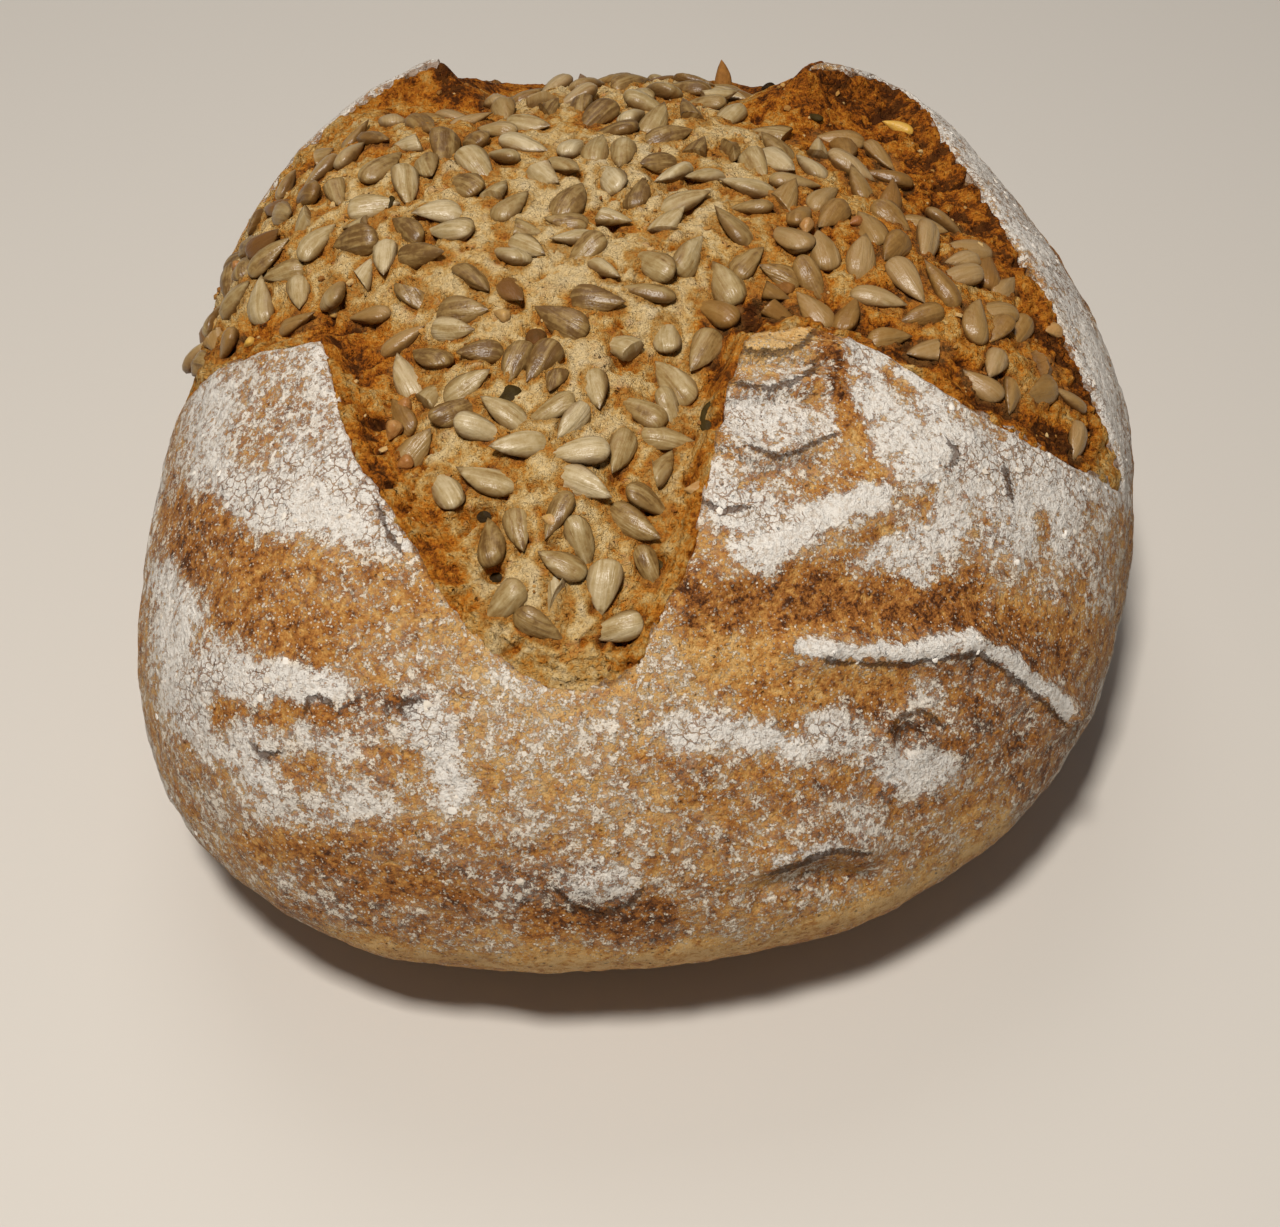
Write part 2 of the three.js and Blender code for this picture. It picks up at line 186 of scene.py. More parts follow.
def layered_noise(points, size, seed, layers=3, keep=0.5):
    total = np.zeros(len(points))
    height = 1.0
    whole = 0.0
    for layer in range(layers):
        total += height * value_noise(points, size / 2 ** layer, seed + 17 * layer)
        whole += height
        height *= keep
    return total / whole


# The plain dome in disk coordinates: 0 is the crown, 1 the belly, BASE_DISTANCE the base's edge

def outline_uneven(angle):
    return sum(c * np.cos(n * angle) + s * np.sin(n * angle) for n, c, s in UNEVENNESS)


def dome_point(u, v):
    angle = np.arctan2(v, u)
    slant = np.minimum(np.hypot(u, v), BASE_DISTANCE) * (math.pi / 2)
    above = slant <= math.pi / 2
    power = np.where(above, 2 / UPPER_FULLNESS, 2 / LOWER_FULLNESS)
    reach = np.sin(slant) ** power
    rise = np.abs(np.cos(slant)) ** power
    upper = BELLY_HEIGHT + (CROWN_HEIGHT - BELLY_HEIGHT) * rise
    lower = BELLY_HEIGHT - BELLY_HEIGHT * LOWER_REACH * rise
    radius = BELLY_RADIUS * reach * (1 + outline_uneven(angle))
    lean = np.where(above, rise ** 1.5, 0)
    x = radius * np.cos(angle) + CROWN_LEAN[0] * lean
    y = radius * np.sin(angle) + CROWN_LEAN[1] * lean
    return np.stack([x, y, np.where(above, upper, lower)], axis=-1)


def dome_normal(u, v):
    step = 1e-3
    along_u = dome_point(u + step, v) - dome_point(u - step, v)
    along_v = dome_point(u, v + step) - dome_point(u, v - step)
    normal = np.cross(along_u, along_v)
    return normal / np.linalg.norm(normal, axis=-1, keepdims=True)


def disk_from_plan(x, y):
    """Disk coordinates of the dome's upper point over a place in the plan."""
    low = np.zeros_like(x)
    high = np.ones_like(x)
    for _ in range(40):
        rise = (low + high) / 2
        lean = rise ** 1.5
        px = x - CROWN_LEAN[0] * lean
        py = y - CROWN_LEAN[1] * lean
        angle = np.arctan2(py, px)
        reach = np.minimum(1, np.hypot(px, py) / (BELLY_RADIUS * (1 + outline_uneven(angle))))
        surface_rise = (1 - reach ** UPPER_FULLNESS) ** (1 / UPPER_FULLNESS)
        higher = surface_rise > rise
        low = np.where(higher, rise, low)
        high = np.where(higher, high, rise)
    rise = (low + high) / 2
    lean = rise ** 1.5
    angle = np.arctan2(y - CROWN_LEAN[1] * lean, x - CROWN_LEAN[0] * lean)
    distance = np.arccos(np.minimum(1, rise ** (UPPER_FULLNESS / 2))) / (math.pi / 2)
    return distance * np.cos(angle), distance * np.sin(angle)


# The outline of the opening, and what its edge is like near a place

def spline_points(points, steps):
    """A uniform Catmull-Rom curve through the points, without its last point."""
    points = np.array(points, float)
    last = len(points) - 1
    t = last * np.arange(steps) / steps
    k = np.minimum(t.astype(int), last - 1)
    w = (t - k)[:, None]
    p0, p1 = points[np.maximum(k - 1, 0)], points[k]
    p2, p3 = points[k + 1], points[np.minimum(k + 2, last)]
    m1, m2 = (p2 - p0) / 2, (p3 - p1) / 2
    return (2 * p1 - 2 * p2 + m1 + m2) * w ** 3 + (-3 * p1 + 3 * p2 - 2 * m1 - m2) * w ** 2 + m1 * w + p1


def value_along(values, t):
    values = np.array(values, float)
    step = np.minimum((t * (len(values) - 1)).astype(int), len(values) - 2)
    part = smooth_step(0, 1, t * (len(values) - 1) - step)
    return values[step] + (values[step + 1] - values[step]) * part


OUTLINE_STEPS = 64
outline = np.concatenate([spline_points(arm["outline"], OUTLINE_STEPS) for arm in ARMS])
steps = np.arange(OUTLINE_STEPS) / OUTLINE_STEPS
edge_values = {
    key: np.concatenate([value_along(arm[key], steps) for arm in ARMS])
    for key in ("depth", "wall", "lift")
}


def edge_near(x, y):
    """Distance to the opening's edge, negative outside, and its depth, wall and lift there."""
    least = np.full(x.shape, np.inf)
    inside = np.zeros(x.shape, bool)
    weight = np.zeros(x.shape)
    near = {key: np.zeros(x.shape) for key in edge_values}
    for i, (ax, ay) in enumerate(outline):
        bx, by = outline[(i + 1) % len(outline)]
        dx, dy = bx - ax, by - ay
        t = np.clip(((x - ax) * dx + (y - ay) * dy) / (dx * dx + dy * dy), 0, 1)
        least = np.minimum(least, (x - ax - t * dx) ** 2 + (y - ay - t * dy) ** 2)
        if (ay > by) or (by > ay):
            inside ^= ((ay > y) != (by > y)) & (x < dx * (y - ay) / dy + ax)
        share = 1 / ((x - ax) ** 2 + (y - ay) ** 2 + 1) ** 2
        weight += share
        for key in near:
            near[key] += edge_values[key][i] * share
    for key in near:
        near[key] /= weight
    distance = np.sqrt(least)
    near["distance"] = np.where(inside, distance, -distance)
    return near


def crumb_relief(edge):
    slope = smooth_step(-0.35 * edge["wall"], edge["wall"], edge["distance"])
    bulge = CRUMB_BULGE * smooth_step(BULGE_REACH[0], BULGE_REACH[1], edge["distance"])
    return bulge - CRUST_THICKNESS - np.maximum(0, edge["depth"] - CRUST_THICKNESS) * slope


def distance_to_path(points, path):
    least = np.full(len(points), np.inf)
    for a, b in zip(np.array(path[:-1], float), np.array(path[1:], float)):
        d = b - a
        t = np.clip((points - a) @ d / (d @ d), 0, 1)
        least = np.minimum(least, np.linalg.norm(points - a - t[:, None] * d, axis=1))
    return least


def waves_at(points):
    total = np.zeros(len(points))
    for wave in WAVES:
        total += wave["height"] * np.sin(points @ np.array(wave["along"]) + wave["phase"])
    return total


def crust_relief(points, edge):
    relief = edge["lift"] * np.exp(np.minimum(0, edge["distance"]) / LIFT_REACH)
    for fold in RIDGES:
        away = distance_to_path(points, fold["path"]) / fold["half"]
        relief = relief + fold["height"] * np.exp(-away ** 2)
    for ledge in LEDGES:
        away = distance_to_path(points, ledge["path"]) / ledge["half"]
        path = np.array(ledge["path"], float)
        front = np.interp(points[:, 0], path[:, 0], path[:, 1]) - points[:, 1]
        step = 1 - smooth_step(LEDGE_DROP[0], LEDGE_DROP[1], front)
        groove = np.exp(-((front - LEDGE_DROP[1]) / LEDGE_GROOVE) ** 2)
        relief = relief + np.exp(-away ** 4) * ledge["height"] * (1.0 * step - 0.5 * groove)
    return relief


def calm_at_base(u, v):
    return 1 - smooth_step(1.15, BASE_DISTANCE - 0.1, np.hypot(u, v))


# The photograph's camera as plain geometry

def camera_frame():
    elevation, roll = CAMERA_ELEVATION, CAMERA_ROLL
    back = np.array([0, -math.cos(elevation), math.sin(elevation)])
    right = np.array([1.0, 0, 0])
    up = np.array([0, math.sin(elevation), math.cos(elevation)])
    right_rolled = math.cos(roll) * right + math.sin(roll) * up
    up_rolled = -math.sin(roll) * right + math.cos(roll) * up
    place = np.array(CAMERA_TARGET) + back * CAMERA_DISTANCE
    return place, right_rolled, up_rolled, back


def photo_pixel(points):
    """Where points of the dome's frame show in the photograph."""
    place, right, up, back = camera_frame()
    v = points - place
    depth = -(v @ back)
    px = PHOTO_SIZE[0] / 2 + CAMERA_FOCAL_PX * (v @ right) / depth
    py = PHOTO_SIZE[1] / 2 - CAMERA_FOCAL_PX * (v @ up) / depth
    return px, py


# Flour on the crust, painted over a base value in pixels of the photograph: each stroke is a
# path, half its width and the flour it leaves, from 0 for bare crust to 1 for a thick cake

BASE_FLOUR = 0.46
FLOUR_STROKES = [
    # Left front lobe
    ([(290, 345), (225, 385)], 30, 0.62),
    ([(315, 365), (330, 420)], 26, 0.72),
    ([(215, 400), (205, 470)], 26, 0.8),
    ([(270, 400), (290, 440)], 30, 0.62),
    ([(340, 455), (355, 490)], 20, 0.92),
    ([(300, 470), (350, 485)], 24, 0.92),
    ([(225, 490), (290, 515), (345, 530), (400, 540)], 24, 0.98),
    ([(185, 520), (240, 570), (320, 600)], 30, 0.24),
    ([(300, 570), (400, 590), (450, 640)], 32, 0.38),
    ([(250, 610), (320, 650)], 25, 0.2),
    # Left side and its rings
    ([(160, 580), (185, 610)], 18, 0.86),
    ([(170, 630), (175, 690), (195, 720)], 20, 0.86),
    ([(215, 640), (235, 665)], 14, 0.7),
    ([(215, 678), (275, 682), (330, 690)], 19, 0.98),
    ([(265, 668), (300, 675)], 10, 0.9),
    ([(220, 712), (270, 715), (330, 712)], 11, 0.22),
    ([(205, 745), (225, 755)], 15, 0.75),
    ([(250, 740), (262, 780)], 22, 0.8),
    ([(300, 740), (345, 748)], 14, 0.75),
    ([(380, 725), (400, 735)], 18, 0.6),
    ([(425, 712), (440, 745), (455, 790)], 20, 0.88),
    ([(470, 700), (490, 720)], 14, 0.6),
    ([(330, 800), (390, 805)], 14, 0.75),
    ([(215, 790), (240, 830)], 20, 0.55),
    ([(280, 810), (330, 815)], 20, 0.7),
    ([(250, 845), (330, 850)], 16, 0.25),
    ([(275, 870), (300, 880)], 10, 0.6),
    ([(320, 905), (350, 915)], 10, 0.55),
    ([(390, 850), (440, 850)], 12, 0.5),
    # Below the front arm
    ([(400, 660), (470, 645)], 9, 0.55),
    ([(430, 625), (470, 640)], 10, 0.4),
    ([(505, 665), (530, 690)], 14, 0.65),
    ([(500, 700), (470, 760)], 14, 0.5),
    ([(520, 740), (640, 720)], 30, 0.58),
    ([(500, 800), (620, 790)], 30, 0.54),
    ([(530, 830), (545, 820)], 10, 0.6),
    ([(620, 830), (640, 845)], 10, 0.55),
    ([(640, 670), (680, 665)], 18, 0.5),
    ([(620, 700), (660, 720)], 18, 0.52),
    ([(480, 870), (520, 890)], 16, 0.6),
    ([(370, 880), (450, 890)], 22, 0.3),
    ([(540, 930), (650, 915)], 18, 0.22),
    ([(578, 884), (618, 884)], 19, 0.74),
    # Right front, below its lobe
    ([(690, 728), (760, 738), (830, 735)], 20, 0.93),
    ([(860, 740), (880, 760)], 18, 0.7),
    ([(700, 770), (830, 775)], 16, 0.45),
    ([(900, 775), (940, 775)], 18, 0.92),
    ([(850, 810), (870, 830)], 14, 0.65),
    ([(690, 830), (710, 850)], 10, 0.55),
    ([(850, 880), (900, 880)], 14, 0.45),
    ([(980, 720), (1030, 760)], 30, 0.42),
    ([(900, 700), (930, 690)], 14, 0.65),
    ([(700, 600), (840, 600), (960, 600)], 24, 0.08),
    ([(720, 640), (780, 690)], 30, 0.2),
    ([(820, 690), (890, 690)], 16, 0.12),
    ([(1010, 620), (1080, 640)], 30, 0.25),
    # Right front lobe
    ([(870, 350), (930, 390), (1000, 430), (1050, 460)], 26, 0.86),
    ([(860, 400), (900, 440)], 26, 0.8),
    ([(940, 450), (1000, 480), (1070, 500)], 34, 0.92),
    ([(880, 540), (960, 530), (1050, 550)], 26, 0.84),
    ([(1000, 580), (1070, 590)], 18, 0.42),
    ([(900, 560), (920, 570)], 10, 0.85),
    ([(725, 490), (760, 520), (790, 530)], 26, 0.87),
    ([(740, 550), (770, 565)], 12, 0.8),
    ([(730, 460), (790, 470)], 16, 0.62),
    ([(850, 470), (870, 465)], 12, 0.15),
    ([(800, 490), (840, 480)], 10, 0.35),
    ([(830, 560), (870, 535), (900, 515)], 10, 0.36),
    ([(960, 565), (985, 520)], 8, 0.5),
    ([(1040, 520), (1060, 600)], 12, 0.55),
    ([(890, 370), (905, 400)], 8, 0.4),
    ([(960, 405), (1000, 435)], 9, 0.6),
    ([(1090, 420), (1105, 470)], 13, 0.5),
    ([(745, 415), (790, 425)], 22, 0.92),
    ([(760, 440), (830, 420)], 12, 0.72),
    ([(760, 388), (800, 380)], 9, 0.7),
    ([(755, 372), (790, 365)], 7, 0.6),
    ([(760, 340), (810, 332)], 15, 0.22),
    ([(824, 335), (838, 370), (846, 410), (856, 440)], 5, 0.05),
    # Raised ridges
    ([(802, 645), (860, 655), (915, 654), (950, 647), (981, 642)], 6, 1.2),
    ([(981, 642), (1018, 667), (1045, 688), (1070, 712)], 8, 1.2),
    ([(770, 545), (830, 512), (880, 492)], 11, 1.1),
    ([(780, 865), (835, 840)], 6, 0.8),
    # Right and back outside
    ([(1095, 510), (1105, 600)], 16, 0.6),
    ([(870, 62), (950, 110), (1000, 170), (1060, 250), (1090, 330), (1110, 420), (1120, 480)], 26, 0.88),
    ([(385, 75), (415, 60), (440, 55)], 8, 0.95),
    # The bare foot
    ([(300, 945), (450, 965), (600, 972), (750, 955), (900, 905), (1010, 840)], 14, 0.03),
]

# How darkly the crust is baked there, from 0 for golden to 1 for dark brown

BASE_BAKE = 0.52
BAKE_STROKES = [
    ([(480, 610), (560, 720), (680, 655)], 60, 0.3),
    ([(440, 760), (620, 800)], 50, 0.44),
    ([(260, 650), (300, 800)], 60, 0.6),
    ([(200, 540), (300, 640)], 44, 0.68),
    ([(320, 700), (430, 708)], 12, 0.9),
    ([(330, 880), (450, 900)], 40, 0.7),
    ([(520, 895), (650, 920)], 30, 0.85),
    ([(700, 600), (840, 600), (960, 605)], 30, 0.75),
    ([(870, 620), (1060, 660)], 30, 0.72),
    ([(760, 830), (860, 800)], 60, 0.62),
    ([(905, 735), (1040, 745)], 55, 0.75),
    ([(905, 730), (920, 745)], 18, 1.0),
    ([(755, 343), (812, 330)], 22, 0.0),
    ([(824, 335), (838, 370), (846, 410)], 9, 0.8),
    ([(300, 940), (450, 962), (600, 970), (750, 950), (900, 900), (1010, 830)], 15, 0.14),
]

# Round each torn edge and out of sight, the flour lies in rings from the proving basket:
# its amount at equal steps of disk distance

RING_REACH = (0.4, 1.4)
RING_FLOUR = (0.8, 0.86, 0.75, 0.3, 0.85, 0.3, 0.78, 0.35, 0.2, 0.1, 0.1)

# How toasted the crumb is, from 0 for pale to 1 for dark

TOAST_STROKES = [
    # Round the left front lobe
    ([(215, 345), (300, 315), (370, 310), (400, 340)], 17, 0.66),
    ([(345, 345), (375, 400), (390, 470)], 32, 0.64),
    ([(330, 335), (365, 348)], 20, 0.95),
    ([(410, 500), (440, 560)], 24, 0.6),
    ([(470, 600), (520, 650)], 18, 0.5),
    # Left back wall
    ([(290, 190), (340, 140), (400, 100), (450, 80)], 26, 0.5),
    ([(420, 95), (480, 110)], 26, 0.6),
    ([(435, 62), (490, 70)], 9, 0.95),
    ([(500, 92), (560, 95), (620, 90)], 12, 0.5),
    # Right back wall
    ([(830, 110), (900, 170), (970, 240)], 32, 0.72),
    ([(810, 230), (900, 260), (980, 320), (1040, 380)], 60, 0.6),
    ([(790, 72), (880, 100), (950, 170), (1010, 250), (1060, 340), (1090, 410)], 26, 0.82),
    ([(800, 66), (860, 78), (930, 125), (990, 200), (1040, 280), (1080, 350)], 6, 0.9),
    ([(740, 90), (780, 85)], 12, 0.6),
    ([(1020, 400), (1080, 430)], 20, 0.62),
    # The brown band round the right front lobe
    ([(1080, 455), (980, 392), (920, 352), (860, 322), (800, 303), (760, 300), (715, 312)], 16, 0.94),
    ([(712, 330), (732, 380), (728, 430)], 12, 0.82),
    # Right side of the front arm and its tip
    ([(715, 460), (700, 520), (690, 590), (670, 640)], 9, 0.62),
    ([(500, 640), (560, 680), (640, 680), (680, 645)], 16, 0.22),
    # Floury patches
    ([(540, 170), (590, 180)], 24, 0.0),
    ([(600, 130), (650, 140)], 22, 0.04),
    ([(520, 230), (570, 245)], 26, 0.06),
    ([(620, 165), (700, 190)], 30, 0.1),
    ([(520, 400), (560, 420), (570, 470)], 30, 0.08),
    ([(500, 590), (560, 610)], 24, 0.1),
    ([(560, 340), (590, 380)], 20, 0.12),
    ([(610, 250), (650, 300)], 20, 0.15),
]

# Thin dark cracks and the rims of burst bubbles on the crust, and painted shadow lines under its ledges,
# ridge, fold and blister and round its crater, in pixels of the photograph

CRACK_AND_SHADOW_LINES = [
    [(738, 318), (741, 350), (775, 354), (800, 347), (814, 333)],
    [(736, 384), (770, 389), (800, 379), (817, 368)],
    [(752, 446), (775, 458), (800, 451), (832, 436)],
    [(950, 442), (958, 452), (951, 464)],
    [(700, 500), (722, 512), (745, 508)],
    [(770, 874), (800, 864), (832, 852), (866, 854)],
    [(830, 662), (880, 666), (930, 662), (978, 654), (1010, 676), (1036, 697), (1062, 722)],
    [(378, 505), (386, 530), (398, 548)],
    [(1005, 470), (1012, 500)],
    [(306, 708), (310, 699), (320, 697), (328, 704)],
    [(400, 709), (404, 702), (412, 701)],
    [(255, 748), (266, 757), (276, 754)],
    [(558, 892), (574, 908), (600, 915), (628, 906), (640, 892)],
    [(893, 730), (903, 716), (922, 712), (938, 724)],
]
CRACK_SHADOW_REACH = (5.0, 11.0)

# Holes and dark gaps in the crumb: place, radius in millimetres and depth

HOLES = [
    ((500, 405), 2.4, 3.2), ((480, 507), 2.2, 3.2), ((492, 572), 2.4, 2.8), ((655, 560), 3.2, 2.4),
    ((712, 420), 1.9, 2.6), ((646, 518), 1.4, 2.0), ((368, 412), 2.0, 2.2), ((345, 400), 1.2, 1.6),
    ((405, 508), 1.4, 1.8), ((1003, 392), 1.8, 2.6), ((450, 345), 1.8, 2.0), ((545, 150), 1.0, 1.0),
    ((625, 130), 1.0, 1.2), ((820, 120), 1.4, 1.6), ((1020, 262), 1.4, 1.4), ((640, 262), 1.6, 1.8),
    ((765, 82), 1.4, 1.6), ((490, 70), 1.4, 1.6), ((385, 370), 1.2, 1.4), ((620, 720), 0.9, 0.6),
]


CRISP = 0.3


def stroke_distance(px, py, path):
    least = np.full(len(px), np.inf)
    for (ax, ay), (bx, by) in zip(path[:-1], path[1:]):
        dx, dy = bx - ax, by - ay
        t = np.clip(((px - ax) * dx + (py - ay) * dy) / (dx * dx + dy * dy), 0, 1)
        least = np.minimum(least, (px - ax - t * dx) ** 2 + (py - ay - t * dy) ** 2)
    return np.sqrt(least)


def painted(points, base, strokes, ragged, soft=0.45):
    """Paints strokes over base at points; ragged is how far their edges wander, in pixels."""
    px, py = photo_pixel(points)
    px = px + ragged * layered_noise(points, 7.0, 31, 3, 0.7)
    py = py + ragged * layered_noise(points, 7.0, 37, 3, 0.7)
    value = base
    for path, half, target in strokes:
        away = stroke_distance(px, py, path) / half
        blur = soft if target <= 1 else CRISP
        weight = 1 - smooth_step(1 - blur, 1 + blur, away)
        value = value + (target - value) * weight
    return value


def dark_lines(points):
    """Signed distance in pixels to the nearest of the cracks and painted shadow lines, and how near it
    is.
    """
    px, py = photo_pixel(points)
    side = np.full(len(points), 99.0)
    for path in CRACK_AND_SHADOW_LINES:
        for (ax, ay), (bx, by) in zip(path[:-1], path[1:]):
            dx, dy = bx - ax, by - ay
            length = math.hypot(dx, dy)
            along = ((px - ax) * dx + (py - ay) * dy) / length
            across = ((px - ax) * dy - (py - ay) * dx) / length
            off = np.maximum(0, np.maximum(-along, along - length))
            here = np.where(off > 0, np.copysign(np.hypot(off, across), across), across)
            side = np.where(np.abs(here) < np.abs(side), here, side)
    near = 1 - smooth_step(CRACK_SHADOW_REACH[0], CRACK_SHADOW_REACH[1], np.abs(side))
    return np.clip(side, -CRACK_SHADOW_REACH[1], CRACK_SHADOW_REACH[1]), near


def facing_camera(points, normals):
    towards = camera_frame()[0] - points
    towards /= np.linalg.norm(towards, axis=1, keepdims=True)
    return np.sum(towards * normals, axis=1)


# Mesh making

def in_metres(points):
    moved = points + np.array([CENTRE_OFFSET[0], CENTRE_OFFSET[1], 0.0])
    return moved * MM


def make_piece(name, points, faces, material, values=None, smooth=True):
    mesh = bpy.data.meshes.new(name)
    mesh.from_pydata(in_metres(points).tolist(), [], faces)
    mesh.polygons.foreach_set("use_smooth", [smooth] * len(mesh.polygons))
    for key, data in (values or {}).items():
        attribute = mesh.attributes.new(key, "FLOAT", "POINT")
        attribute.data.foreach_set("value", np.asarray(data, np.float32))
    mesh.materials.append(material)
    mesh.update()
    piece = bpy.data.objects.new(name, mesh)
    bpy.context.scene.collection.objects.link(piece)
    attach(piece, "root")
    return piece


def ring_faces(starts, counts):
    """Faces between rings of vertices, each ring closed, a ring of one being a pole."""
    faces = []
    for ring in range(1, len(starts)):
        inner, outer = starts[ring - 1], starts[ring]
        n = max(counts[ring - 1], counts[ring])
        for k in range(n):
            m = (k + 1) % n
            if counts[ring - 1] == 1:
                faces.append((inner, outer + k, outer + m))
            elif counts[ring] == 1:
                faces.append((inner + k, outer, inner + m))
            else:
                faces.append((inner + k, outer + k, outer + m, inner + m))
    return faces


# The crust: everything but the opening, closed off below the crumb

CRUST_SPOKES = 880
EDGE_ROWS = 74
UNDER_ROWS = 22
BASE_ROWS = 6
HOLLOW_ROWS = 8
HOLLOW_DEPTH = 6.0
RIM_BEVEL = 0.8


def spaced_outline(count):
    closed = np.vstack([outline, outline[:1]])
    lengths = np.concatenate([[0], np.cumsum(np.linalg.norm(np.diff(closed, axis=0), axis=1))])
    wanted = lengths[-1] * np.arange(count) / count
    x = np.interp(wanted, lengths, closed[:, 0])
    y = np.interp(wanted, lengths, closed[:, 1])
    return np.stack([x, y], axis=1)


def ragged_outline(count):
    points = spaced_outline(count)
    ahead = np.roll(points, -3, axis=0) - np.roll(points, 3, axis=0)
    outward = np.stack([ahead[:, 1], -ahead[:, 0]], axis=1)
    outward /= np.linalg.norm(outward, axis=1, keepdims=True)
    flat = np.column_stack([points, np.zeros(count)])
    jitter = 1.5 * layered_noise(flat, 8.0, 11, 4, 0.75)
    return points + outward * jitter[:, None]


def crust_surface(u, v):
    points = dome_point(u, v)
    edge = edge_near(points[:, 0], points[:, 1])
    coarse = 0.8 * layered_noise(points, 15.0, 3, 3) + 0.5 * layered_noise(points, 4.5, 5, 3, 0.6)
    calm = calm_at_base(u, v)
    bevel = RIM_BEVEL * np.exp(-(edge["distance"] / RIM_BEVEL) ** 2)
    crumbly = 0.9 * (1 + value_noise(points, 2.4, 53))
    crest = crumbly * np.exp(-(distance_to_path(points, RIDGES[0]["path"]) / 1.5) ** 2)
    detail = coarse - bevel + crest
    px, py = photo_pixel(points)
    (cx, cy), radius, height = CRATER
    px = px + 7 * value_noise(points, 3.5, 51)
    py = py + 7 * value_noise(points, 3.5, 52)
    away = np.hypot(px - cx, (py - cy) / 0.8) / radius
    detail += height * (0.6 * np.exp(-((away - 1) / 0.35) ** 2) - np.exp(-(away / 0.75) ** 2))
    (cx, cy), radius, height = BLISTER
    detail += height * np.exp(-(np.hypot(px - cx, (py - cy) / 0.8) / radius) ** 4)
    relief = (crust_relief(points, edge) + waves_at(points) + detail) * calm
    placed = points + dome_normal(u, v) * relief[:, None]
    placed[:, 2] = np.maximum(0, placed[:, 2])
    return placed, points, edge


def make_crust(material):
    edge_plan = ragged_outline(CRUST_SPOKES)
    eu, ev = disk_from_plan(edge_plan[:, 0], edge_plan[:, 1])
    edge_angle = np.unwrap(np.arctan2(ev, eu))
    edge_distance = np.hypot(eu, ev)
    even = 2 * math.pi * np.arange(CRUST_SPOKES) / CRUST_SPOKES
    even_angle = even + np.mean(edge_angle - even)
    rings = []
    cu, cv = disk_from_plan(np.array([OPENING_CENTRE[0]]), np.array([OPENING_CENTRE[1]]))
    hollow = [(cu, cv)]
    for row in range(1, HOLLOW_ROWS + 1):
        t = 1 - (1 - row / HOLLOW_ROWS) ** 1.35
        hollow.append((cu + (eu - cu) * t, cv + (ev - cv) * t))
    for row, (u, v) in enumerate(hollow):
        points = dome_point(u, v)
        edge = edge_near(points[:, 0], points[:, 1])
        relief = crumb_relief(edge) - HOLLOW_DEPTH * (1 if row < HOLLOW_ROWS else 0.45)
        rings.append((points + dome_normal(u, v) * relief[:, None], u, v))
    for row in range(EDGE_ROWS + 1):
        t = (row / EDGE_ROWS) ** 1.12
        turn = smooth_step(0, 1, t)
        distance = edge_distance + (1 - edge_distance) * t
        angle = edge_angle * (1 - turn) + even_angle * turn
        u, v = distance * np.cos(angle), distance * np.sin(angle)
        rings.append((None, u, v))
    for row in range(1, UNDER_ROWS + 1):
        distance = 1 + (BASE_DISTANCE - 1) * row / UNDER_ROWS
        u, v = distance * np.cos(even_angle), distance * np.sin(even_angle)
        rings.append((None, u, v))
    starts, counts, parts = [], [], []
    total = 0
    sample = [r for r in rings if r[0] is None]
    su = np.concatenate([r[1] for r in sample])
    sv = np.concatenate([r[2] for r in sample])
    skin, plain, edge = crust_surface(su, sv)
    at = 0
    for points, u, v in rings:
        if points is None:
            points = skin[at:at + len(u)]
            at += len(u)
        starts.append(total)
        counts.append(len(points))
        parts.append(points)
        total += len(points)
    last = parts[-1]
    middle = last.mean(axis=0) * np.array([1, 1, 0])
    for row in range(1, BASE_ROWS + 1):
        t = row / (BASE_ROWS + 1)
        ring = last * (1 - t) + middle * t
        ring[:, 2] = 0
        starts.append(total)
        counts.append(len(ring))
        parts.append(ring)
        total += len(ring)
    starts.append(total)
    counts.append(1)
    parts.append(middle[None])
    points = np.concatenate(parts)
    faces = ring_faces(starts, counts)
    inner = sum(counts[:HOLLOW_ROWS + 1])
    values = crust_values(skin, su, sv, edge)
    for key, data in values.items():
        spare = len(points) - inner - len(data)
        values[key] = np.concatenate([np.full(inner, data[0]), data, np.full(spare, data[-1])])
    return make_piece("crust", points, faces, material, values)


def crust_values(points, u, v, edge):
    normals = dome_normal(u, v)
    seen = smooth_step(0.0, 0.22, facing_camera(points, normals))
    distance = np.hypot(u, v) + 0.03 * layered_noise(points, 14.0, 41, 3, 0.6)
    along = np.clip((distance - RING_REACH[0]) / (RING_REACH[1] - RING_REACH[0]), 0, 1)
    rings = value_along(RING_FLOUR, along) + 0.22 * layered_noise(points, 18.0, 43, 3)
    flour = painted(points, np.full(len(points), BASE_FLOUR), FLOUR_STROKES, 16.0, 0.8)
    flour = rings + (flour - rings) * seen
    bake = painted(points, np.full(len(points), BASE_BAKE), BAKE_STROKES, 12.0, 0.8)
    bake = BASE_BAKE + (bake - BASE_BAKE) * seen
    foot = smooth_step(16.0, 7.0, points[:, 2])
    flour = flour * (1 - foot)
    bake = bake * (1 - foot) + 0.26 * foot
    under = smooth_step(0.4, 0.0, points[:, 2])
    bake = bake * (1 - under) + 0.45 * under
    side, near = dark_lines(points)
    return {
        "flour": flour, "bake": bake, "rim": np.minimum(8.0, -edge["distance"]),
        "crack_shadow_side": side, "crack_shadow_near": near * seen,
    }


# The crumb: a fine grid over the opening that runs on a little way under the crust

CRUMB_STEP = 0.475
CRUMB_UNDERLAP = 2.4
STEEP = (0.2, 0.6)
# How far the painted shade round each kernel reaches
KERNEL_SHADE_REACH = 1.28
LIP_HEIGHT = 1.0
LIP_REACH = 3.5


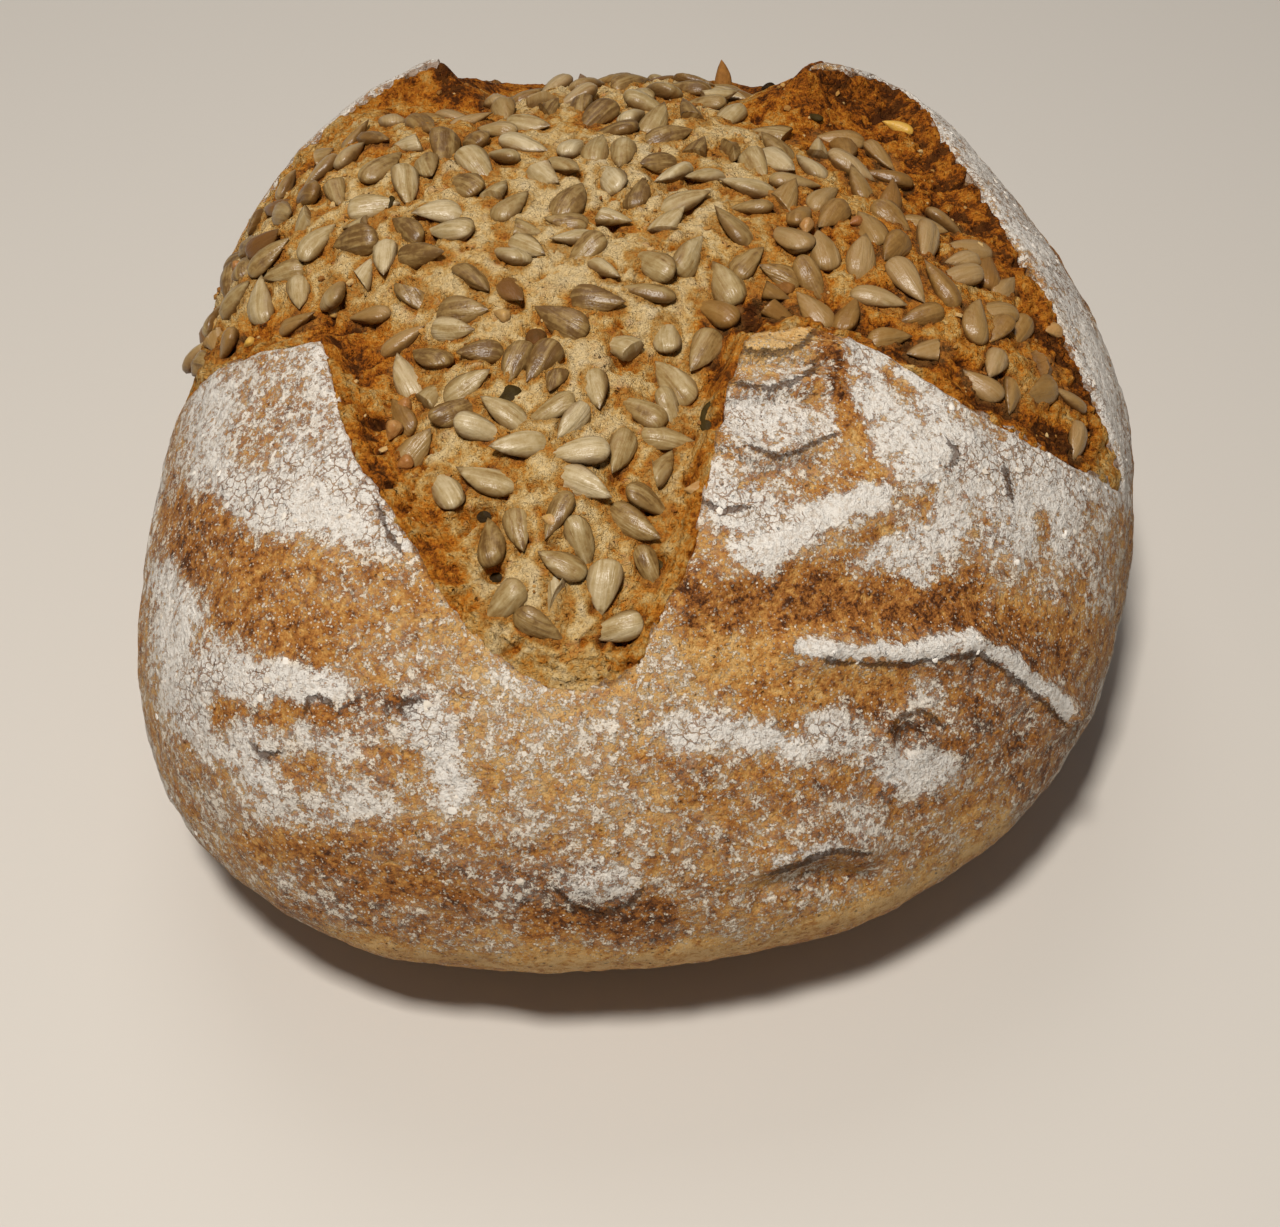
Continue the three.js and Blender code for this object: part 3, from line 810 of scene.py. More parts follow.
def crumb_texture(points, edge):
    """Fine relief of the torn crumb, in millimetres."""
    lumps = 0.8 * layered_noise(points, 9.0, 21, 2)
    pits = layered_noise(points, 3.2, 23, 3, 0.7)
    strings = 1 - np.abs(layered_noise(points, 5.0, 27, 3, 0.6)) * 3
    torn = 1 - smooth_step(0.6, 1.3, edge["distance"] / edge["wall"])
    ridged = 0.5 - np.abs(layered_noise(points, 2.6, 29, 3, 0.65)) * 2
    smooth = torn * smooth_step(7.0, 10.0, edge["depth"])
    rough = 0.9 * pits + (0.45 + 0.4 * torn) * strings + 0.5 * ridged
    rough -= 1.8 * smooth_step(0.22, 0.65, -pits)
    relief = lumps + rough * (1 - 0.6 * smooth)
    px, py = photo_pixel(points)
    for (hx, hy), radius, depth in HOLES:
        away = np.hypot(px - hx, (py - hy) / 0.8) / (radius * PIXELS_PER_MM)
        relief -= depth * (1 - smooth_step(0.4, 1.2, away))
    return relief


def crumb_surface(u, v):
    points = dome_point(u, v)
    edge = edge_near(points[:, 0], points[:, 1])
    relief = crumb_relief(edge) + waves_at(points)
    return points, edge, relief


def kernel_shade_at(kernels, points):
    """How close each point is to a kernel, from 0 for clear of them to 1 for underneath; it becomes
    painted shade round and under the kernels.
    """
    kernel_shade = np.zeros(len(points))
    for kernel in kernels:
        near = np.flatnonzero(np.linalg.norm(points - kernel["middle"], axis=1) < kernel["length"])
        offset = points[near] - kernel["middle"]
        along = offset @ kernel["along"]
        across = np.linalg.norm(offset - along[:, None] * kernel["along"], axis=1)
        reach = np.hypot(along / kernel["length"], across / kernel["width"]) * 2
        kernel_shade[near] = np.maximum(kernel_shade[near], 1 - smooth_step(0.9, KERNEL_SHADE_REACH, reach))
    return kernel_shade


def make_crumb(material, kernels):
    low = outline.min(axis=0) - CRUMB_UNDERLAP - 1
    high = outline.max(axis=0) + CRUMB_UNDERLAP + 1
    nx = int((high[0] - low[0]) / CRUMB_STEP)
    ny = int((high[1] - low[1]) / CRUMB_STEP)
    gx, gy = np.meshgrid(low[0] + CRUMB_STEP * np.arange(nx), low[1] + CRUMB_STEP * np.arange(ny))
    x, y = gx.ravel(), gy.ravel()
    edge = edge_near(x, y)
    kept = edge["distance"] > -CRUMB_UNDERLAP
    kept = kept.reshape(ny, nx)
    cell = kept[:-1, :-1] & kept[1:, :-1] & kept[:-1, 1:] & kept[1:, 1:]
    corner = np.arange(nx * ny).reshape(ny, nx)
    a, b = corner[:-1, :-1][cell], corner[:-1, 1:][cell]
    c, d = corner[1:, 1:][cell], corner[1:, :-1][cell]
    quads = np.stack([a, b, c, d], axis=1)
    used = np.unique(quads)
    renumber = np.full(nx * ny, -1)
    renumber[used] = np.arange(len(used))
    quads = renumber[quads]
    u, v = disk_from_plan(x[used], y[used])
    plain, edge, relief = crumb_surface(u, v)
    sunk = smooth_step(0.3, -CRUMB_UNDERLAP, edge["distance"])
    bare = edge["lift"] - crumb_relief(edge) - LIP_HEIGHT
    climb = np.maximum(0, bare) * (1 - smooth_step(0.2, LIP_REACH, edge["distance"]))
    normals = dome_normal(u, v)
    level = smooth_step(STEEP[0], STEEP[1], normals[:, 2])
    relief = relief + (crumb_texture(plain, edge) * level + climb) * (1 - sunk) - 1.2 * sunk
    points = plain + normals * relief[:, None]
    edges = np.concatenate([quads[:, [0, 1]], quads[:, [1, 2]], quads[:, [2, 3]], quads[:, [3, 0]]])
    keys = edges.min(axis=1).astype(np.int64) * len(used) + edges.max(axis=1)
    _, first, count = np.unique(keys, return_index=True, return_counts=True)
    rim = edges[first[count == 1]]
    root = len(points)
    points = np.vstack([points, [OPENING_CENTRE[0], OPENING_CENTRE[1], 62.0]])
    faces = quads.tolist() + [(int(q), int(p), root) for p, q in rim]
    values = crumb_values(plain, edge)
    # Painted shade round and under the kernels, kept on the crumb
    values["kernel_shade"] = kernel_shade_at(kernels, points[:root])
    values = {key: np.append(data, 0) for key, data in values.items()}
    return make_piece("crumb", points, faces, material, values)


def crumb_values(points, edge):
    torn = 1 - smooth_step(0.2, 1.1, edge["distance"] / edge["wall"])
    deep = smooth_step(1.0, 9.0, edge["depth"])
    base = 0.29 + (0.15 + 0.29 * deep) * torn
    toast = painted(points, base, TOAST_STROKES, 8.0, 0.6)
    return {"toast": toast, "edge_distance": edge["distance"], "hollow": -crumb_texture(points, edge)}


# The kernels, scattered by the same seeded draw as in the solid

def make_draw(seed):
    state = seed & 0xFFFFFFFF

    def multiply(a, b):
        return (a * b) & 0xFFFFFFFF

    def draw():
        nonlocal state
        state = (state + 0x6D2B79F5) & 0xFFFFFFFF
        t = multiply(state ^ (state >> 15), 1 | state)
        t = ((t + multiply(t ^ (t >> 7), 61 | t)) & 0xFFFFFFFF) ^ t
        return (t ^ (t >> 14)) / 4294967296

    return draw


def kernel_density(x, y):
    dx, dy = x - CLUSTER_CENTRE[0], y - CLUSTER_CENTRE[1]
    wave_x = np.cos(2 * math.pi * (dx + CLUSTER_SKEW * dy) / CLUSTER_PITCH[0])
    wave_y = np.cos(2 * math.pi * (dy - CLUSTER_SKEW * dx) / CLUSTER_PITCH[1])
    return 0.55 - 0.45 * wave_x * wave_y


def scatter_kernels():
    draw = make_draw(SEED_OF_DRAW)
    rows = np.array([[draw() for _ in range(9)] for _ in range(KERNEL_TRIES)])
    x = (1 - rows[:, 0]) * -94 + rows[:, 0] * 92
    y = (1 - rows[:, 1]) * -82 + rows[:, 1] * 104
    edge = edge_near(x, y)
    fits = edge["distance"] >= np.maximum(KERNEL_EDGE_GAP, KERNEL_WALL_GAP * edge["wall"])
    fits &= rows[:, 8] <= kernel_density(x, y)
    u, v = disk_from_plan(x, y)
    normals = dome_normal(u, v)
    plain, edge, relief = crumb_surface(u, v)
    seats = plain + normals * relief[:, None]
    kernels = []
    for i in np.flatnonzero(fits):
        if len(kernels) == KERNEL_COUNT:
            break
        size = 1 + KERNEL_SPREAD * (1 - 2 * len(kernels) / KERNEL_COUNT)
        heading = 2 * math.pi * rows[i][2]
        length, width, thickness = (
            measure * size * (1 + KERNEL_UNEVEN * (2 * chance - 1))
            for measure, chance in zip(KERNEL_SIZE, rows[i][5:8])
        )
        normal = normals[i]
        along = np.array([math.cos(heading), math.sin(heading), 0])
        along = along - normal * (along @ normal)
        along /= np.linalg.norm(along)
        middle = seats[i] + normal * KERNEL_SEAT * thickness
        spine = middle + np.outer([-0.3 * length, 0, 0.3 * length], along)
        least = KERNEL_CLEARANCE * 0.5
        if any(
            np.min(np.linalg.norm(spine[:, None] - k["spine"][None], axis=2))
            < least * (width + k["width"])
            for k in kernels
        ):
            continue
        kernels.append({
            "middle": middle, "along": along, "normal": normal, "spine": spine,
            "pitch": KERNEL_PITCH * (2 * rows[i][3] - 1), "roll": KERNEL_ROLL * (2 * rows[i][4] - 1),
            "length": length, "width": width, "thickness": thickness,
        })
    return kernels


KERNEL_RINGS = 17
KERNEL_SIDES = 20
BROKEN_SHARE = 0.14
TOASTED_SHARE = 0.03


def kernel_shape(seed, may_break=True):
    """A unit kernel: pointed at one end, blunt at the other, flattened and wrinkled."""
    rng = np.random.default_rng(seed)
    t = (np.arange(KERNEL_RINGS) + 1) / (KERNEL_RINGS + 1)
    t = 0.5 - 0.5 * np.cos(math.pi * t)
    radius = (1 - (1 - t) ** rng.uniform(1.7, 2.5)) ** 0.95 * (1 - t ** rng.uniform(4, 7)) ** 0.5
    radius /= radius.max() * 2
    angle = 2 * math.pi * np.arange(KERNEL_SIDES) / KERNEL_SIDES
    wide = rng.uniform(0.88, 1.1)
    bend = rng.normal() * 0.07
    twist = rng.normal() * 0.25
    flat = rng.uniform(0, 0.3)
    wrinkle = np.zeros((KERNEL_RINGS, KERNEL_SIDES))
    for lobes in (2, 3, 5, 7):
        wave = np.cos(lobes * angle + rng.uniform(0, 6.3) + 2 * rng.normal() * t[:, None])
        wrinkle += 0.035 * rng.normal() * wave
    wrinkle += 0.012 * rng.normal(size=wrinkle.shape)
    cut = 2.0
    if may_break and rng.uniform() < BROKEN_SHARE:
        cut = rng.uniform(0.0, 0.25)
    tilt = rng.normal() * 0.35
    parts = [np.array([[bend, -0.5, 0]])]
    for k in range(KERNEL_RINGS):
        turn = angle + twist * (t[k] - 0.5)
        ring = radius[k] * (1 + wrinkle[k])
        x = wide * ring * np.cos(turn)
        z = ring * np.sin(turn)
        z = np.where(z < 0, z, z * (1 - flat * np.cos(turn) ** 2))
        y = np.full(KERNEL_SIDES, t[k] - 0.5)
        y = np.minimum(y, cut + tilt * x)
        parts.append(np.column_stack([x + bend * (t[k] - 0.5) ** 2 * 4, y, z]))
    parts.append(np.array([[bend, min(0.5, cut), 0]]))
    return np.concatenate(parts)


def turned(points, pitch, roll):
    c, s = math.cos(pitch), math.sin(pitch)
    y = points[:, 1] * c - points[:, 2] * s
    z = points[:, 1] * s + points[:, 2] * c
    c, s = math.cos(roll), math.sin(roll)
    x = points[:, 0] * c + z * s
    return np.column_stack([x, y, z * c - points[:, 0] * s])


def make_kernels(material, kernels):
    parts, faces, tone, toast, spots = [], [], [], [], []
    total = 0
    starts = [0] + [1 + KERNEL_SIDES * k for k in range(KERNEL_RINGS)] + [1 + KERNEL_SIDES * KERNEL_RINGS]
    counts = [1] + [KERNEL_SIDES] * KERNEL_RINGS + [1]
    shape_faces = ring_faces(starts, counts)
    rng = np.random.default_rng(SEED_OF_DRAW)
    for number, kernel in enumerate(kernels):
        shape = kernel_shape(number)
        across = np.cross(kernel["along"], kernel["normal"])
        points = shape * np.array([kernel["width"], kernel["length"], kernel["thickness"]])
        points = turned(points, kernel["pitch"], kernel["roll"])
        turn = np.stack([across, kernel["along"], kernel["normal"]])
        points = points @ turn + kernel["middle"]
        faces += [tuple(i + total for i in face) for face in shape_faces]
        parts.append(points)
        tone += [0.02 if rng.uniform() < TOASTED_SHARE else rng.uniform(0.12, 0.92)] * len(points)
        seat_toast = painted(kernel["middle"][None], np.array([0.25]), TOAST_STROKES, 0.0, 0.8)
        toast += [seat_toast[0]] * len(points)
        spots.append(shape)
        total += len(points)
    spots = np.concatenate(spots)
    values = {
        "tone": tone, "along": spots[:, 1] + 0.5, "across": spots[:, 0], "low": spots[:, 2],
        "toast": toast,
    }
    return make_piece("kernels", np.concatenate(parts), faces, material, values)


# Single seeds and grains that stand out in the photograph: pixel, size, heading in the plan and
# rise of the blunt end in degrees, and tone

DARK_SEEDS = [
    ((500, 408), (9.0, 4.8, 2.2), 62, 12, 0.2),
    ((712, 424), (9.0, 4.2, 2.0), 82, 8, 0.3),
    ((482, 512), (6.4, 4.4, 2.2), 20, 0, 0.1),
    ((494, 576), (5.4, 3.4, 1.8), 10, 0, 0.1),
    ((658, 562), (6.0, 3.4, 2.0), -30, 8, 0.35),
    ((853, 142), (3.4, 2.8, 2.2), 20, 0, 0.0),
    ((766, 80), (3.4, 2.4, 2.0), 30, 10, 0.0),
    ((782, 285), (4.6, 3.0, 2.2), -35, 5, 0.8),
    ((737, 309), (3.4, 2.2, 1.6), -20, 5, 0.7),
    ((536, 345), (5.6, 4.4, 2.6), 88, 15, 0.6),
    ((812, 118), (4.6, 1.6, 1.4), -35, 10, 0.3),
    ((345, 345), (2.6, 1.8, 1.4), 10, 0, 0.1),
    ((392, 205), (3.6, 1.4, 1.2), 75, 12, 0.2),
    ((722, 84), (8.4, 3.6, 2.6), -82, -58, 0.9),
]
GRAINS = [
    ((897, 130), (7.0, 3.4, 2.8), -12, 6, 0.95),
    ((807, 228), (3.8, 3.0, 2.4), 80, 8, 0.5),
    ((403, 410), (3.0, 2.8, 2.6), 0, 0, 0.35),
    ((404, 466), (3.2, 2.8, 2.6), 30, 0, 0.3),
    ((396, 434), (3.8, 3.4, 3.0), 60, 20, 0.45),
    ((697, 490), (4.6, 3.4, 3.0), 5, 0, 0.6),
    ((1050, 332), (4.4, 3.6, 2.4), 20, 8, 0.6),
    ((328, 167), (2.4, 2.2, 2.0), 0, 0, 0.25),
    ((503, 318), (3.8, 2.6, 2.4), -40, 10, 0.7),
    ((238, 268), (2.8, 2.6, 2.4), 0, 0, 0.35),
    ((334, 313), (3.0, 2.8, 2.6), 0, 0, 0.8),
    ((855, 222), (3.0, 2.4, 2.0), 40, 0, 0.15),
    ((250, 345), (2.6, 2.0, 1.8), 10, 0, 0.9),
    ((548, 522), (3.2, 2.4, 2.0), -30, 0, 0.7),
]
LUMP_COUNT = 420
FLAKE_COUNT = 520
LUMP_CORNERS = np.array([
    (0, 0, 1), (0.894, 0, 0.447), (0.276, 0.851, 0.447), (-0.724, 0.526, 0.447),
    (-0.724, -0.526, 0.447), (0.276, -0.851, 0.447), (0.724, 0.526, -0.447),
    (-0.276, 0.851, -0.447), (-0.894, 0, -0.447), (-0.276, -0.851, -0.447),
    (0.724, -0.526, -0.447), (0, 0, -1),
])
LUMP_FACES = [
    (0, 1, 2), (0, 2, 3), (0, 3, 4), (0, 4, 5), (0, 5, 1), (1, 6, 2), (2, 7, 3), (3, 8, 4),
    (4, 9, 5), (5, 10, 1), (6, 7, 2), (7, 8, 3), (8, 9, 4), (9, 10, 5), (10, 6, 1),
    (11, 7, 6), (11, 8, 7), (11, 9, 8), (11, 10, 9), (11, 6, 10),
]


def crumb_sample(step):
    """Points and normals of the crumb on an even grid."""
    low, high = outline.min(axis=0), outline.max(axis=0)
    gx, gy = np.meshgrid(np.arange(low[0], high[0], step), np.arange(low[1], high[1], step))
    x, y = gx.ravel(), gy.ravel()
    inside = edge_near(x, y)["distance"] > 0.5
    u, v = disk_from_plan(x[inside], y[inside])
    plain, edge, relief = crumb_surface(u, v)
    normals = dome_normal(u, v)
    return plain + normals * (relief + crumb_texture(plain, edge))[:, None], normals, edge


def make_seeds(name, slot, material, seeds, sample):
    points, normals, _ = sample
    px, py = photo_pixel(points)
    hidden = facing_camera(points, normals) < 0.02
    starts = [0] + [1 + KERNEL_SIDES * k for k in range(KERNEL_RINGS)] + [1 + KERNEL_SIDES * KERNEL_RINGS]
    shape_faces = ring_faces(starts, [1] + [KERNEL_SIDES] * KERNEL_RINGS + [1])
    parts, faces, tones, spots = [], [], [], []
    for number, (pixel, size, heading, rise, tone) in enumerate(seeds):
        at = np.argmin((px - pixel[0]) ** 2 + (py - pixel[1]) ** 2 + 1e9 * hidden)
        normal = normals[at]
        along = np.array([math.cos(math.radians(heading)), math.sin(math.radians(heading)), 0])
        along = along - normal * (along @ normal)
        along /= np.linalg.norm(along)
        shape = kernel_shape(1000 + number, may_break=False)
        turned_shape = turned(shape * np.array([size[1], size[0], size[2]]), math.radians(rise), 0)
        turn = np.stack([np.cross(along, normal), along, normal])
        lift = (0.2 if slot == "kernel" else -0.15) * size[2]
        lift += 0.4 * size[0] * abs(math.sin(math.radians(rise)))
        faces += [tuple(i + number * len(shape) for i in face) for face in shape_faces]
        parts.append(turned_shape @ turn + points[at] + normal * lift)
        tones += [tone] * len(shape)
        spots.append(shape)
    spots = np.concatenate(spots)
    values = {"tone": tones, "along": spots[:, 1] + 0.5, "across": spots[:, 0], "low": spots[:, 2]}
    return make_piece(name, np.concatenate(parts), faces, material, values)


def make_lumps(name, material, places, normals, sizes, flatness, rng):
    parts, faces, tones = [], [], []
    for number, (place, normal, size) in enumerate(zip(places, normals, sizes)):
        side = np.cross(normal, rng.normal(size=3))
        side /= np.linalg.norm(side)
        turn = np.stack([side, np.cross(normal, side), normal])
        measures = size * np.array([1, rng.uniform(0.6, 1), flatness])
        shape = LUMP_CORNERS * (1 + 0.22 * rng.normal(size=(12, 1))) * measures / 2
        parts.append(shape @ turn + place + normal * 0.15 * size * flatness)
        faces += [tuple(i + 12 * number for i in face) for face in LUMP_FACES]
        tones += [rng.uniform()] * 12
    points = np.concatenate(parts)
    return make_piece(name, points, faces, material, {"tone": tones}, smooth=False)


def make_crumb_lumps(material, sample):
    """Loose bits of crumb, most of them along the torn walls."""
    points, normals, edge = sample
    rng = np.random.default_rng(7)
    weight = 0.25 + np.exp(-edge["distance"] / 5.0)
    chosen = rng.choice(len(points), LUMP_COUNT, replace=False, p=weight / weight.sum())
    sizes = 0.6 + 1.3 * rng.uniform(size=LUMP_COUNT) ** 3
    return make_lumps("crumb_bits", material, points[chosen], normals[chosen], sizes, 0.7, rng)


def make_flour_flakes(material):
    """Flakes of caked flour, where it lies thick."""
    rng = np.random.default_rng(11)
    count = 12000
    distance = rng.uniform(0.35, 1.2, count)
    angle = rng.uniform(0, 2 * math.pi, count)
    u, v = distance * np.cos(angle), distance * np.sin(angle)
    points, plain, edge = crust_surface(u, v)
    flour = crust_values(points, u, v, edge)["flour"]
    fits = (edge["distance"] < -1.0) & (flour > 0.45 + 0.5 * rng.uniform(size=count))
    chosen = np.flatnonzero(fits)[:FLAKE_COUNT]
    sizes = 0.4 + 1.3 * rng.uniform(size=len(chosen)) ** 3
    normals = dome_normal(u, v)
    return make_lumps("flour_flakes", material, points[chosen], normals[chosen], sizes, 0.3, rng)


# Materials

def new_material(name):
    material = bpy.data.materials.new(name)
    material.use_nodes = True
    return material, material.node_tree.nodes, material.node_tree.links


def plain_material(name, colour, roughness):
    material, nodes, links = new_material(name)
    shader = nodes["Principled BSDF"]
    shader.inputs["Base Color"].default_value = (*colour, 1)
    shader.inputs["Roughness"].default_value = roughness
    return material


class Graph:
    """Short ways to add shader nodes; sizes are in millimetres of the piece's own space."""

    def __init__(self, name):
        self.material, self.nodes, self.links = new_material(name)
        self.shader = self.nodes["Principled BSDF"]
        space = self.nodes.new("ShaderNodeTexCoord")
        self.place = self.vector_math("SCALE", space.outputs["Object"], scale=1 / MM)

    def feed(self, socket, value):
        if isinstance(value, bpy.types.NodeSocket):
            self.links.new(value, socket)
        else:
            socket.default_value = value

    def vector_math(self, operation, a, b=None, scale=None):
        node = self.nodes.new("ShaderNodeVectorMath")
        node.operation = operation
        self.feed(node.inputs[0], a)
        if b is not None:
            self.feed(node.inputs[1], b)
        if scale is not None:
            self.feed(node.inputs["Scale"], scale)
        return node.outputs[0]

    def math(self, operation, a, b=0.0, c=0.0, clamp=False):
        node = self.nodes.new("ShaderNodeMath")
        node.operation = operation
        node.use_clamp = clamp
        for socket, value in zip(node.inputs, (a, b, c)):
            self.feed(socket, value)
        return node.outputs[0]

    def scaled(self, value, factor, offset=0.0):
        return self.math("MULTIPLY_ADD", value, factor, offset)

    def step(self, value, low, high, clamp_to=(0.0, 1.0)):
        node = self.nodes.new("ShaderNodeMapRange")
        node.interpolation_type = "SMOOTHSTEP"
        for socket, number in zip(node.inputs, (value, low, high, *clamp_to)):
            self.feed(socket, number)
        return node.outputs[0]

    def attribute(self, name):
        node = self.nodes.new("ShaderNodeAttribute")
        node.attribute_name = name
        return node.outputs["Fac"]

    def noise(self, size, detail=3.0, rough=0.6, place=None, warp=0.0):
        node = self.nodes.new("ShaderNodeTexNoise")
        self.feed(node.inputs["Vector"], place or self.place)
        node.inputs["Scale"].default_value = 1 / size
        node.inputs["Detail"].default_value = detail
        node.inputs["Roughness"].default_value = rough
        node.inputs["Distortion"].default_value = warp
        return node.outputs["Fac"]

    def warped(self, size, amount):
        node = self.nodes.new("ShaderNodeTexNoise")
        self.feed(node.inputs["Vector"], self.place)
        node.inputs["Scale"].default_value = 1 / size
        node.inputs["Detail"].default_value = 2
        centred = self.vector_math("SUBTRACT", node.outputs["Color"], (0.5, 0.5, 0.5))
        return self.vector_math("ADD", self.place, self.vector_math("SCALE", centred, scale=amount))

    def cracks(self, size, place):
        node = self.nodes.new("ShaderNodeTexVoronoi")
        node.feature = "DISTANCE_TO_EDGE"
        self.feed(node.inputs["Vector"], place)
        node.inputs["Scale"].default_value = 1 / size
        return node.outputs["Distance"]

    def spots(self, size, place=None):
        node = self.nodes.new("ShaderNodeTexVoronoi")
        self.feed(node.inputs["Vector"], place or self.place)
        node.inputs["Scale"].default_value = 1 / size
        return node.outputs["Distance"]

    def mix(self, share, a, b):
        node = self.nodes.new("ShaderNodeMix")
        node.data_type = "RGBA"
        self.feed(node.inputs[0], share)
        for socket, value in zip((node.inputs[6], node.inputs[7]), (a, b)):
            self.feed(socket, value if isinstance(value, bpy.types.NodeSocket) else (*value, 1))
        return node.outputs[2]

    def ramp(self, value, stops):
        node = self.nodes.new("ShaderNodeValToRGB")
        self.feed(node.inputs[0], value)
        elements = node.color_ramp.elements
        while len(elements) < len(stops):
            elements.new(1.0)
        for element, (position, colour) in zip(elements, stops):
            element.position = position
            element.color = (*colour, 1)
        return node.outputs[0]

    def bump(self, height, depth, strength=1.0, normal=None):
        """height runs from 0 to 1 over depth millimetres."""
        node = self.nodes.new("ShaderNodeBump")
        node.inputs["Strength"].default_value = strength
        node.inputs["Distance"].default_value = depth * MM
        self.feed(node.inputs["Height"], height)
        if normal is not None:
            self.links.new(normal, node.inputs["Normal"])
        return node.outputs[0]

    def finish(self, colour, roughness, normal, shine=0.2):
        self.shader.inputs["Specular IOR Level"].default_value = shine
        self.feed(self.shader.inputs["Base Color"], colour)
        self.feed(self.shader.inputs["Roughness"], roughness)
        if normal is not None:
            self.links.new(normal, self.shader.inputs["Normal"])
        return self.material


def crust_material():
    g = Graph("crust")
    flour = g.attribute("flour")
    bake = g.attribute("bake")
    rim = g.attribute("rim")
    fine = g.noise(0.9, 4.0, 0.75)
    grains = g.noise(0.32, 2.0, 0.6)
    patches = g.noise(4.5, 4.0, 0.65)

    # Baked crust, blistered and mottled
    mottle = g.noise(2.6, 5.0, 0.72)
    broad = g.noise(17.0, 3.0, 0.6)
    shade = g.math("ADD", bake, g.scaled(mottle, 2.1, -1.06))
    shade = g.math("ADD", shade, g.scaled(broad, 0.6, -0.3))
    shade = g.math("ADD", shade, g.scaled(fine, 1.6, -0.8))
    baked = g.ramp(shade, [
        (0.0, (0.70, 0.45, 0.19)),
        (0.26, (0.60, 0.33, 0.10)),
        (0.52, (0.46, 0.20, 0.045)),
        (0.78, (0.29, 0.10, 0.02)),
        (1.0, (0.075, 0.025, 0.008)),
    ])

    # Painted shade in small pits of the crust, which also dip the bump
    pits = g.spots(1.7, g.warped(1.5, 0.9))
    pit_shade = g.math("MULTIPLY", g.step(pits, 0.2, 0.08), g.step(broad, 0.4, 0.55))
    baked = g.mix(g.scaled(pit_shade, 0.7), baked, (0.09, 0.03, 0.01))

    # Flour: a cake that breaks into flakes where it is thick, and loose grains where it is thin
    scatter = g.noise(1.5, 6.0, 0.8)
    cover = g.math("ADD", g.scaled(scatter, 1.45), g.scaled(grains, 0.35))
    cover = g.math("ADD", cover, g.scaled(patches, 0.5))
    cover = g.math("ADD", cover, g.scaled(flour, 0.55, -1.46))
    dusted = g.step(cover, -0.03, 0.07)
    haze = g.math("ADD", g.scaled(flour, 0.9), g.scaled(patches, 1.0))
    haze = g.step(g.math("ADD", haze, g.scaled(fine, 0.8)), 1.15, 2.0)
    specks = g.spots(0.75, g.warped(0.6, 0.4))
    reach = g.scaled(g.step(patches, 0.3, 0.7), 0.2, 0.16)
    reach = g.math("ADD", reach, g.scaled(flour, 0.16))
    speck = g.step(g.math("SUBTRACT", reach, specks), -0.02, 0.05)
    speck = g.math("MULTIPLY", speck, g.step(flour, 0.0, 0.25))
    speck = g.math("MULTIPLY", speck, g.step(scatter, 0.4, 0.54))
    dusted = g.math("MAXIMUM", dusted, g.scaled(speck, 0.95))
    dusted = g.math("MAXIMUM", dusted, g.scaled(haze, 0.52))
    warped = g.warped(1.4, 1.9)
    craze = g.cracks(2.1, warped)
    wide = g.scaled(g.step(broad, 0.41, 0.6), 0.085, -0.03)
    crack = g.step(g.math("SUBTRACT", craze, wide), 0.02, -0.015)
    crack = g.math("MULTIPLY", crack, g.step(flour, 0.65, 0.9))
    crack = g.math("MULTIPLY", crack, g.step(flour, 1.15, 0.95))
    dusted = g.math("MULTIPLY", dusted, g.scaled(crack, -0.3, 1.0))
    thick = g.step(flour, 0.3, 0.85)
    dust = g.mix(thick, (0.88, 0.76, 0.60), (0.82, 0.78, 0.72))
    # Painted shade in the low spots of thick flour
    flour_low_shade = g.math("MULTIPLY", g.step(fine, 0.52, 0.38), thick)
    dust = g.mix(g.scaled(flour_low_shade, 0.4), dust, (0.36, 0.24, 0.14))
    dust = g.mix(g.scaled(crack, 0.65), dust, (0.15, 0.09, 0.05))
    colour = g.mix(g.scaled(dusted, 0.96), baked, dust)

    # Dark cracks, rings of burst bubbles, and painted shadow lines under the ledges, ridge, fold and
    # blister
    side = g.math("ADD", g.attribute("crack_shadow_side"), g.scaled(fine, 14.0, -7.0))
    side = g.math("ABSOLUTE", g.math("ADD", side, g.scaled(mottle, 12.0, -6.0)))
    crack_shadow_line = g.math("SUBTRACT", g.scaled(patches, 7.0, -0.6), side)
    crack_shadow_line = g.math("MULTIPLY", g.step(crack_shadow_line, -0.8, 1.2), g.attribute("crack_shadow_near"))
    colour = g.mix(g.scaled(crack_shadow_line, 0.8), colour, (0.085, 0.036, 0.014))

    # The toasted lip of the torn edge
    lip = g.math("ADD", rim, g.scaled(patches, 3.0, -1.3))
    colour = g.mix(g.scaled(g.step(lip, 0.5, -0.1), 0.65), colour, (0.24, 0.10, 0.025))

    height = g.math("ADD", g.scaled(dusted, 0.6), g.scaled(fine, 0.8))
    height = g.math("ADD", height, g.scaled(grains, 0.4))
    height = g.math("SUBTRACT", height, g.scaled(crack_shadow_line, 1.5))
    height = g.math("SUBTRACT", height, g.scaled(pit_shade, 0.8))
    normal = g.bump(height, 0.5, 1.0)
    normal = g.bump(g.math("ADD", mottle, patches), 1.5, 0.85, normal)
    roughness = g.mix(dusted, (0.55, 0.55, 0.55), (0.95, 0.95, 0.95))
    return g.finish(colour, roughness, normal, 0.12)


